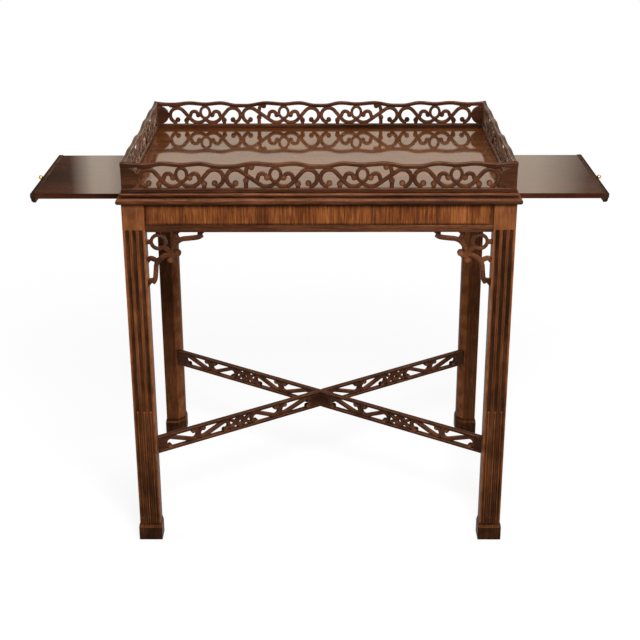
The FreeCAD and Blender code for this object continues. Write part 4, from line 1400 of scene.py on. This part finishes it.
    def cuff(self) -> Surface:
        """The foot cuff: the leg's outline moved out line by line, a block with a groove over it and a
        concave slope up to the leg. Each line has its way out, its height, its painted highlight and its
        painted shade.

        Returns:
            The cuff's surface.
        """
        side, inner = self.table.leg, self.table.leg - self.chamfer
        corners = np.array([(0, 0), (side, 0), (side, inner), (inner, side), (0, side)], dtype=float)
        out, high, worn, hollow = np.array(self.cuff_lines).T[:, :, None]
        shapes = corners[None] + outward(corners)[None] * out[:, :, None]
        along = np.roll(shapes, -1, axis=1) - shapes
        along /= np.linalg.norm(along, axis=2, keepdims=True)
        soft = self.cuff_soft
        ends = np.stack([shapes - np.roll(along, 1, axis=1) * soft, shapes + along * soft], axis=2)
        flat = ends.reshape(len(out), 2 * len(corners), 2)
        return skin(grid(flat[..., 0], flat[..., 1], high), worn, hollow)

    def build(self) -> None:
        """Make the four legs and their cuffs."""
        material = self.finishes.wood(MAHOGANY, Grain.HEIGHT)
        shaft, cuff = self.shaft(), self.cuff()
        wide, deep = self.table.width / 2, self.table.depth / 2
        corners = (
            ("front_left", 0, -wide, -deep), ("front_right", 90, wide, -deep),
            ("rear_right", 180, wide, deep), ("rear_left", 270, -wide, deep),
        )
        for label, degrees, x, y in corners:
            leg = shaft.turned(degrees).moved(x, y, 0)
            foot = cuff.turned(degrees).moved(x, y, 0)
            make_piece(f"fluted_leg_{label}", leg, material, "table", (f"leg_{label}",))
            make_piece(
                f"moulded_foot_{label}", foot, material, "table", (f"foot_cuff_{label}",)
            )


@dataclass
class EdgeMouldings:
    """The moulding round the tray's edge: a small bead, a quirk and a large round, mitred. Sizes in
    millimetres."""

    table: TableSizes
    finishes: Finishes
    reach: float = 8.5
    width: float = 20.0
    torus: float = 5.8
    quirk: float = 1.0
    bead: float = 3.3
    bead_in: float = 0.5
    neck_in: float = 0.6
    neck_drop: float = 0.8
    neck_foot: float = 0.5
    shoulder_out: float = 0.8
    shoulder_rise: float = 0.15
    quirk_shade: tuple[float, ...] = (0.6, 1.0, 1.0, 0.15)
    bead_worn: tuple[float, ...] = (0.4, 0.8, 0.4)
    round_worn: tuple[float, ...] = (0.4, 0.9, 0.6, 0.2)

    def section(self) -> tuple[np.ndarray, np.ndarray, np.ndarray]:
        """The moulding's section.

        Returns:
            Distances out from the leg faces with heights, and the painted shade and painted highlight of
            each.
        """
        low, high = self.table.leg_top, self.table.tray
        back = self.reach - self.width
        bead = arc((-self.quirk - self.bead_in, high - self.bead), self.bead, 90, -90, step=15)
        round_edge = arc((self.reach - self.torus, low + self.torus), self.torus, 90, -90, step=12)
        neck, shoulder = -self.quirk - self.neck_in, self.shoulder_out - self.quirk
        under, over = high - 2 * self.bead, low + 2 * self.torus
        spots = np.concatenate(
            [
                [(back, high)],
                bead,
                [(neck, under - self.neck_drop), (neck, over + self.neck_foot)],
                [(shoulder, over + self.shoulder_rise)],
                round_edge,
                [(back, low)],
            ]
        )
        # Painted shade in the quirk, painted highlights on the bead and the round.
        darkening = np.zeros(len(spots))
        mark = len(bead) + 1
        darkening[mark - 1:mark + 3] = self.quirk_shade
        worn = np.zeros(len(spots))
        worn[3:6] = self.bead_worn
        worn[mark + 5:mark + 9] = self.round_worn
        return spots, darkening, worn

    def build(self) -> None:
        """Make the four lengths."""
        spots, darkening, worn = self.section()
        for side in Side:
            half = self.table.along(side) / 2
            front = self.table.across(side) / 2
            reach = half + spots[:, 0]
            rings = np.stack(
                [np.stack([way * reach, -front - spots[:, 0], spots[:, 1]], axis=-1) for way in (-1, 1)]
            )
            shape = skin(rings, worn, darkening).turned(side.value)
            name = f"edge_moulding_{side.label}"
            material = self.finishes.wood(MOULDING, side.grain)
            make_piece(f"run_{name}", shape, material, "table", (name,))


@dataclass
class SlideEnds:
    """The lip and the knob on the outer end of each slide. Sizes in millimetres."""

    finishes: Finishes
    face: float = 525.3
    thick: float = 10.0
    width: float = 253.6
    top: float = 679.0
    height: float = 18.0
    reach: float = 12.7
    ball: float = 4.3
    neck: float = 1.9
    nosing: float = 2.6
    end_step: float = 0.4
    foot_in: float = 5.6
    ogee: tuple[tuple[float, float], ...] = ((-5.0, 0.2), (-2.2, 2.6), (-1.5, 6.0), (-1.3, 7.6))
    quirk: tuple[tuple[float, float], ...] = ((-1.0, 8.2), (-0.1, 8.5), (0.0, 9.2))
    back_edge: tuple[tuple[float, float], ...] = ((0.9, 0.0), (0.25, -0.25), (0.0, -0.9))
    lip_dirt: float = 0.3
    quirk_shade: float = 0.9
    back_worn: float = 0.8
    nosing_worn: float = 0.9
    ball_dirt: float = 0.8
    ball_clean: float = 0.3
    knob_points: int = 24
    knob_lines: tuple[tuple[float, float, float], ...] = (
        (-1.0, 4.0, 1.0), (0.0, 4.1, 0.6), (0.7, 4.0, 0.2), (1.1, 3.5, 0.3),
        (1.4, 2.6, 0.8), (1.9, 2.3, 0.9), (2.5, 1.8, 1.0), (3.4, 1.7, 1.0),
    )

    def lip(self) -> Surface:
        """The lip for the right: a section with a round edge above and an ogee below, carried
        along y. The ogee and the quirk over it are measured from the lip's lower outer corner, and
        the soft back edge from its upper inner one.

        Returns:
            The lip's surface.
        """
        out, low = self.face + self.thick, self.top - self.height
        ogee = np.array(self.ogee) + (out, low)
        upper = arc((out - self.nosing, self.top - self.nosing), self.nosing, 0, 90, step=15)
        spots = np.concatenate(
            [
                [(self.face, low), (out - self.foot_in, low)],
                flowing(ogee, 4),
                np.array(self.quirk) + (out, low),
                upper,
                np.array(self.back_edge) + (self.face, self.top),
            ]
        )
        half = self.width / 2
        y = np.array([-half, -half + self.end_step, half - self.end_step, half])
        rings = np.stack([np.insert(spots, 1, place, axis=1) for place in y])
        # An even darkening over the lip, painted shade in the quirk, and painted highlights on the back edge
        # and the nosing.
        darkening = np.full(len(spots), self.lip_dirt)
        quirk = int(np.argmin(np.abs(spots - self.quirk[0] - (out, low)).sum(axis=1)))
        darkening[quirk - 1:quirk + 2] = self.quirk_shade
        worn = np.zeros(len(spots))
        worn[-3:] = self.back_worn
        worn[-10:-7] = self.nosing_worn
        return skin(rings, worn, darkening)

    def knob(self) -> Surface:
        """The knob for the right: a turned profile of a rose, a neck and a ball, about a level axis. Each
        line of the rose and the neck has its way out from the lip, its radius and its dirt.

        Returns:
            The knob's surface.
        """
        tip = self.reach
        meets = 180 - math.degrees(math.asin(self.neck / self.ball))
        ball = arc((tip - self.ball, 0), self.ball, meets, 5, step=14)
        fading = np.clip(self.ball_dirt - np.arange(len(ball)) * self.ball_clean, 0, 1)
        lines = np.concatenate([self.knob_lines, np.column_stack([ball, fading])])
        along, radius, darkening = lines.T[:, :, None]
        cos, sin = circle(self.knob_points)
        level = self.top - self.height / 2
        rings = grid(self.face + self.thick + along, radius * cos, level + radius * sin)
        return skin(rings, np.zeros(1), darkening)

    def build(self) -> None:
        """Make both lips and both knobs."""
        wood = self.finishes.wood(LIP, Grain.DEPTH)
        brass = self.finishes.brass(BRASS)
        for label, degrees in (("right", 0), ("left", 180)):
            body = f"{label}_slide"
            lip = self.lip().turned(degrees)
            make_piece(f"moulded_lip_{label}", lip, wood, body, (f"slide_lip_{label}",))
            knob = self.knob().turned(degrees)
            make_piece(f"turned_knob_{label}", knob, brass, body, (f"knob_{label}",))


@dataclass
class Stretchers:
    """Two pierced diagonal rails, halved where they cross. Sizes in millimetres; places along half
    a rail are shares of its run from the leg to the middle."""

    table: TableSizes
    finishes: Finishes
    low: float = 172.0
    height: float = 35.0
    thick: float = 10.0
    edge: float = 5.6
    strand: float = 6.0
    full: float = 1.9
    lap: float = 0.3
    eye: float = 5.0
    dusty: float = 0.5
    leg_in: float = 33.5
    sunk: float = 4.0
    halved: float = 0.35
    crossing: float = 8.3
    scrolls: tuple[tuple[float, float, Lean], ...] = (
        (0.044, 0.246, Lean.FALLS), (0.239, 0.431, Lean.RISES),
        (0.554, 0.741, Lean.FALLS), (0.734, 0.947, Lean.RISES),
    )
    rosette: float = 0.4935
    rosette_radius: float = 7.6
    rosette_width: float = 9.2
    bridge_rise: float = 9.0
    bridge_width: float = 6.4
    eye_swell: float = -0.2
    scroll_back: float = 0.4
    rosette_back: float = 0.5
    upper_bridge_back: float = 0.7
    lower_bridge_back: float = 0.9
    board_margin: float = 1.0
    board_bevel: float = 0.4
    rail_steps: int = 30
    halving_step: float = 0.2

    def scroll(self, start: float, end: float, lean: Lean) -> list[Stroke | Dot]:
        """An S-scroll: two bows of one radius, and a bar that is their common tangent, so that the
        sine of its lean is twice the radius over the distance between the bows.

        Args:
            start: Outer edge of the bow towards the leg.
            end: Outer edge of the bow towards the middle.
            lean: Which way the bar runs.

        Returns:
            The strand and the round at each of its ends.
        """
        radius = self.height / 2 - self.edge - self.strand / 2 + self.lap
        near = start + radius + self.strand / 2
        far = end - radius - self.strand / 2
        slope = math.degrees(math.asin(2 * radius / (far - near)))
        bows = (arc((near, 0), radius, 270, 90 - slope), arc((far, 0), radius, -90 - slope, 90))
        ball = self.height / 2 - self.edge - self.eye / 2
        flip = np.array([1, lean.value])
        middle = np.array([0, self.height / 2])
        spots = np.array([(near, -ball), (far, ball)]) * flip + middle
        path = np.concatenate(bows) * flip + middle
        drawn: list[Stroke | Dot] = [Stroke(path, self.strand + self.full, self.scroll_back)]
        return drawn + [Dot(tuple(spot), self.eye, self.eye_swell) for spot in spots]

    def half(self, run: float) -> tuple[list[Stroke | Dot], list[np.ndarray]]:
        """Strands and plain boards of half a rail, x from the leg to the middle.

        Args:
            run: Length of half a rail.

        Returns:
            Strokes and dots, and outlines of the boards at both ends.
        """
        drawn: list[Stroke | Dot] = []
        for start, end, lean in self.scrolls:
            drawn += self.scroll(start * run, end * run, lean)
        level = self.height / 2
        middle = self.rosette * run
        circle_path = arc((middle, level), self.rosette_radius, 0, 360)
        drawn.append(Stroke(circle_path, self.rosette_width, self.rosette_back))
        bridges = ((self.bridge_rise, self.upper_bridge_back), (-self.bridge_rise, self.lower_bridge_back))
        for bow in (self.scrolls[1][1], self.scrolls[2][0]):
            inner = middle + math.copysign(self.rosette_radius, bow - self.rosette)
            for rise, set_back in bridges:
                path = np.array([(bow * run, level + rise), (inner, level)])
                drawn.append(Stroke(path, self.bridge_width, set_back))
        plain = self.scrolls[0][0] * run + self.strand / 2
        inward = self.scrolls[-1][1] * run - self.strand / 2
        low, high = self.board_margin, self.height - self.board_margin
        boards = [
            np.array([(left, low), (right, low), (right, high), (left, high)])
            for left, right in ((-self.sunk, plain), (inward, run))
        ]
        return drawn, boards

    def whole(self, upper: bool) -> Surface:
        """A rail along x about the middle of the table.

        Args:
            upper: Whether it keeps its upper half where the rails cross.

        Returns:
            The rail's surface.
        """
        run = math.hypot(self.table.width / 2 - self.leg_in, self.table.depth / 2 - self.leg_in)
        drawn, boards = self.half(run)
        pieces = []
        for way in (1, -1):
            start = -way * run
            pieces += [one.placed(start, way, 0).surface(self.thick) for one in drawn]
            pieces += [fret_board(spots, start, way, self.thick, self.board_bevel) for spots in boards]
        outer = np.linspace(self.crossing, run + self.sunk, self.rail_steps)
        inner = self.crossing - self.halving_step
        x = np.concatenate([-outer[::-1], [-inner, inner], outer])
        inside = np.where(np.abs(x) < self.crossing - self.halving_step / 2, self.halved, 0.0)
        low = inside if upper else np.zeros(len(x))
        high = self.height - (np.zeros(len(x)) if upper else inside)
        pieces.append(rail(x, low, np.full(len(x), self.edge), 0.0, self.thick))
        pieces.append(rail(x, np.full(len(x), self.height - self.edge), high, 0.0, self.thick))
        shape = joined(pieces).moved(0, -self.thick / 2, self.low)
        shape.hollow[:] = np.maximum(shape.hollow, self.dusty)
        return shape

    def build(self) -> None:
        """Make both rails."""
        turn = math.degrees(
            math.atan2(self.table.depth / 2 - self.leg_in, self.table.width / 2 - self.leg_in)
        )
        rails = (
            ("stretcher_left_to_right", turn, False, Grain.RISING),
            ("stretcher_right_to_left", -turn, True, Grain.FALLING),
        )
        for name, degrees, upper, grain in rails:
            shape = self.whole(upper).turned(degrees)
            material = self.finishes.wood(FRETWORK, grain)
            make_piece(f"pierced_{name}", shape, material, "table", (name,))


@dataclass
class Carcase:
    """The nodes that keep their shape: frieze, strips, tray, slides and inner wood."""

    table: TableSizes
    finishes: Finishes
    soft: float = 0.4
    strip: float = 13.0

    def build(self) -> None:
        """Dress each node in its finish."""
        wood = self.finishes.wood
        for side in Side:
            edges = FrameEdges(
                "X" if side.lengthwise else "Y", self.table.along(side) / 2 - self.table.leg,
                self.table.apron_low + self.strip, self.table.leg_top,
            )
            dress(f"apron_{side.label}", wood(FRIEZE, Grain.HEIGHT, edges), self.soft)
            dress(f"frieze_bead_{side.label}", wood(MOULDING, side.grain), self.soft)
        dress("tray_board", wood(TRAY, Grain.WIDTH), self.soft)
        for label in ("right", "left"):
            dress(f"slide_board_{label}", wood(SLIDE, Grain.WIDTH), self.soft)
            dress(f"slide_stops_{label}", wood(INNER, Grain.DEPTH), self.soft)
        for label in ("front", "rear"):
            dress(f"slide_runner_{label}", wood(INNER, Grain.WIDTH), self.soft)
        dress("glue_blocks", wood(INNER, Grain.WIDTH), self.soft)


@dataclass(frozen=True)
class Softbox:
    """A soft square lamp: where it stands, the place that it faces, its side in metres, its power
    in watts, and whether it shows in polished wood."""

    name: str
    at: tuple[float, float, float]
    towards: tuple[float, float, float]
    size: float
    power: float
    mirrored: bool = True


@dataclass(frozen=True)
class Card:
    """A card that glows and only shows in polished wood, where it paints a light and dark reflection:
    its side, 1 for the right and -1 for the left, and how light it is from each distance from the middle on."""

    name: str
    side: int
    levels: tuple[tuple[float, float], ...]


SOFTBOXES = (
    Softbox("key_softbox", (0.25, -1.5, 1.95), (0.0, -0.2, 0.7), 0.7, 50.0),
    Softbox("fill_softbox", (1.0, -2.3, 1.7), (0.0, -0.2, 0.6), 1.2, 10.0),
    Softbox("rear_softbox", (0.4, 3.0, 1.2), (0.0, 0.2, 0.5), 1.2, 58.0, False),
    Softbox("left_softbox", (-3.0, 0.3, 1.1), (-0.3, 0.0, 0.5), 1.2, 40.0, False),
    Softbox("right_softbox", (3.0, 0.3, 1.1), (0.3, 0.0, 0.5), 1.2, 42.0, False),
)
CARDS = (
    Card("left_flag", -1, ((0.56, 0.8), (0.64, 0.6), (0.7, 1.0), (0.75, 1.0), (0.77, 0.7), (0.82, 0.05))),
    Card("right_flag", 1, ((0.55, 1.0), (0.7, 0.95), (0.79, 0.6), (0.87, 0.15))),
)


@dataclass
class Studio:
    """A pale floor, a white surround, soft lamps, two glowing cards that paint reflections, and the camera.
    Lengths in metres.
    """

    eye: tuple[float, float, float] = (0.01214, -2.2243, 1.3623)
    pitch: float = 19.53
    turn: float = 0.0052
    roll: float = -0.0027
    view_angle: float = 30.0
    shift: float = -0.15
    clip_end: float = 200.0
    surround: float = 0.2
    mirrored: tuple[float, float, float] = (1.0, 0.86, 0.7)
    floor_reach: float = 40.0
    floor_drop: float = 0.0002
    floor_paper: float = 0.9
    floor_bounce: float = 0.22
    floor_glow: float = 0.84
    shadow_near: float = 0.7
    shadow_far: float = 1.6
    card_far: float = 6.0
    card_high: float = 5.0
    card_back: float = 1.5

    def camera(self) -> None:
        """The camera: turned about Z, tipped down from level, and rolled a little."""
        data = bpy.data.cameras.new("studio_camera")
        data.sensor_fit = "HORIZONTAL"
        data.angle = math.radians(self.view_angle)
        data.shift_y = self.shift
        data.clip_end = self.clip_end
        camera = bpy.data.objects.new("studio_camera", data)
        turn = Matrix.Rotation(self.turn, 4, "Z") @ Matrix.Rotation(math.radians(90 - self.pitch), 4, "X")
        camera.matrix_world = Matrix.Translation(self.eye) @ turn @ Matrix.Rotation(self.roll, 4, "Z")
        bpy.context.scene.collection.objects.link(camera)
        bpy.context.scene.camera = camera

    def world(self) -> None:
        """A white surround: of strength 1 for rays from the camera, reflections and glass, lower for
        the light that it throws, and warmer in reflections."""
        world = bpy.data.worlds.new("white_surround")
        bpy.context.scene.world = world
        world.use_nodes = True
        tree = Tree(world.node_tree)
        path = tree.add("ShaderNodeLightPath").outputs
        seen = tree.math("MAXIMUM", path["Is Camera Ray"], path["Is Glossy Ray"])
        seen = tree.math("MAXIMUM", seen, path["Is Transmission Ray"])
        tint = tree.mixed(path["Is Glossy Ray"], (1, 1, 1, 1), (*self.mirrored, 1))
        ground = world.node_tree.nodes["Background"]
        tree.fed(ground, Color=tint, Strength=tree.spread(seen, low=self.surround))

    def sheet(self, name: str, corners: list[tuple[float, float, float]],
              material: bpy.types.Material) -> bpy.types.Object:
        """A flat sheet.

        Args:
            name: The sheet's name.
            corners: Its four corners in order.
            material: Its finish.

        Returns:
            The new object.
        """
        mesh = bpy.data.meshes.new(name)
        mesh.from_pydata(corners, [], [[0, 1, 2, 3]])
        mesh.materials.append(material)
        sheet = bpy.data.objects.new(name, mesh)
        bpy.context.scene.collection.objects.link(sheet)
        return sheet

    def floor(self) -> None:
        """A wide white floor that keeps the shadow: what is seen of it near the table is mostly its own
        light, and the rest is what falls on it. Further off it is all its own light."""
        material, tree = new_material("pale_floor")
        nodes = material.node_tree.nodes
        nodes.remove(nodes["Principled BSDF"])
        path = tree.add("ShaderNodeLightPath").outputs
        seen = tree.math("MAXIMUM", path["Is Camera Ray"], path["Is Glossy Ray"])
        away = tree.add("ShaderNodeVectorMath", operation="LENGTH")
        tree.feed(away.inputs[0], tree.add("ShaderNodeTexCoord").outputs["Object"])
        own = tree.spread(away.outputs["Value"], self.shadow_near, self.shadow_far, self.floor_glow)
        tone = tree.spread(seen, low=self.floor_bounce, high=self.floor_paper)
        paper = tree.fed(tree.add("ShaderNodeBsdfDiffuse"), Color=tone)
        glow = tree.fed(tree.add("ShaderNodeEmission"), Strength=1.0)
        mix = tree.fed(tree.add("ShaderNodeMixShader"), Fac=tree.math("MULTIPLY", seen, own))
        tree.feed(mix.inputs[1], paper.outputs["BSDF"])
        tree.feed(mix.inputs[2], glow.outputs["Emission"])
        tree.fed(nodes["Material Output"], Surface=mix.outputs["Shader"])
        reach, low = self.floor_reach, -self.floor_drop
        corners = [(-reach, -reach, low), (reach, -reach, low), (reach, reach, low), (-reach, reach, low)]
        floor = self.sheet("studio_floor", corners, material)

    def lamp(self, box: Softbox) -> None:
        """A soft square lamp that faces a place.

        Args:
            box: The lamp's place, size and power.
        """
        data = bpy.data.lights.new(box.name, "AREA")
        data.size = box.size
        data.energy = box.power
        lamp = bpy.data.objects.new(box.name, data)
        lamp.visible_glossy = box.mirrored
        away = Vector(box.at) - Vector(box.towards)
        lamp.matrix_world = Matrix.Translation(box.at) @ away.to_track_quat("Z", "Y").to_matrix().to_4x4()
        bpy.context.scene.collection.objects.link(lamp)

    def flag(self, kind: Card) -> None:
        """A glowing card behind the table, to one side, that only shows in polished wood, where it paints a
        reflection.

        Args:
            kind: The card's side and how light it is.
        """
        near, last = kind.levels[0][0], kind.levels[-1][0]
        material, tree = new_material(kind.name)
        nodes = material.node_tree.nodes
        nodes.remove(nodes["Principled BSDF"])
        place = tree.add("ShaderNodeTexCoord").outputs["Object"]
        split = tree.fed(tree.add("ShaderNodeSeparateXYZ"), Vector=place)
        span = tree.spread(split.outputs["X"], kind.side * near, kind.side * last)
        ramp = tree.fed(tree.add("ShaderNodeValToRGB"), Fac=span)
        shades = [(*(level * part for part in self.mirrored), 1) for _, level in kind.levels]
        stops = ramp.color_ramp.elements
        stops[0].color, stops[1].color = shades[0], shades[-1]
        for (distance, _), shade in zip(kind.levels[1:-1], shades[1:-1]):
            stops.new((distance - near) / (last - near)).color = shade
        glow = tree.fed(tree.add("ShaderNodeEmission"), Color=ramp.outputs["Color"])
        tree.fed(nodes["Material Output"], Surface=glow.outputs["Emission"])
        ends = (kind.side * near, kind.side * self.card_far)
        heights = (0.0, self.card_high)
        corners = [(ends[i], self.card_back, heights[j]) for i, j in ((0, 0), (1, 0), (1, 1), (0, 1))]
        card = self.sheet(kind.name, corners, material)
        card.visible_camera = False
        card.visible_diffuse = False
        card.visible_shadow = False
        card.visible_transmission = False

    def build(self) -> None:
        """Set up the whole studio."""
        bpy.context.scene.view_settings.view_transform = "Standard"
        self.camera()
        self.world()
        self.floor()
        for kind in CARDS:
            self.flag(kind)
        for box in SOFTBOXES:
            self.lamp(box)


def main() -> None:
    """Build every sub-assembly in order."""
    logging.basicConfig(level=logging.INFO, format="%(message)s")
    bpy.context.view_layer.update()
    table = TableSizes()
    finishes = Finishes()
    Studio().build()
    Gallery(table, finishes).build()
    Brackets(table, finishes).build()
    Legs(table, finishes).build()
    EdgeMouldings(table, finishes).build()
    SlideEnds(finishes).build()
    Stretchers(table, finishes).build()
    Carcase(table, finishes).build()


if __name__ == "__main__":
    main()
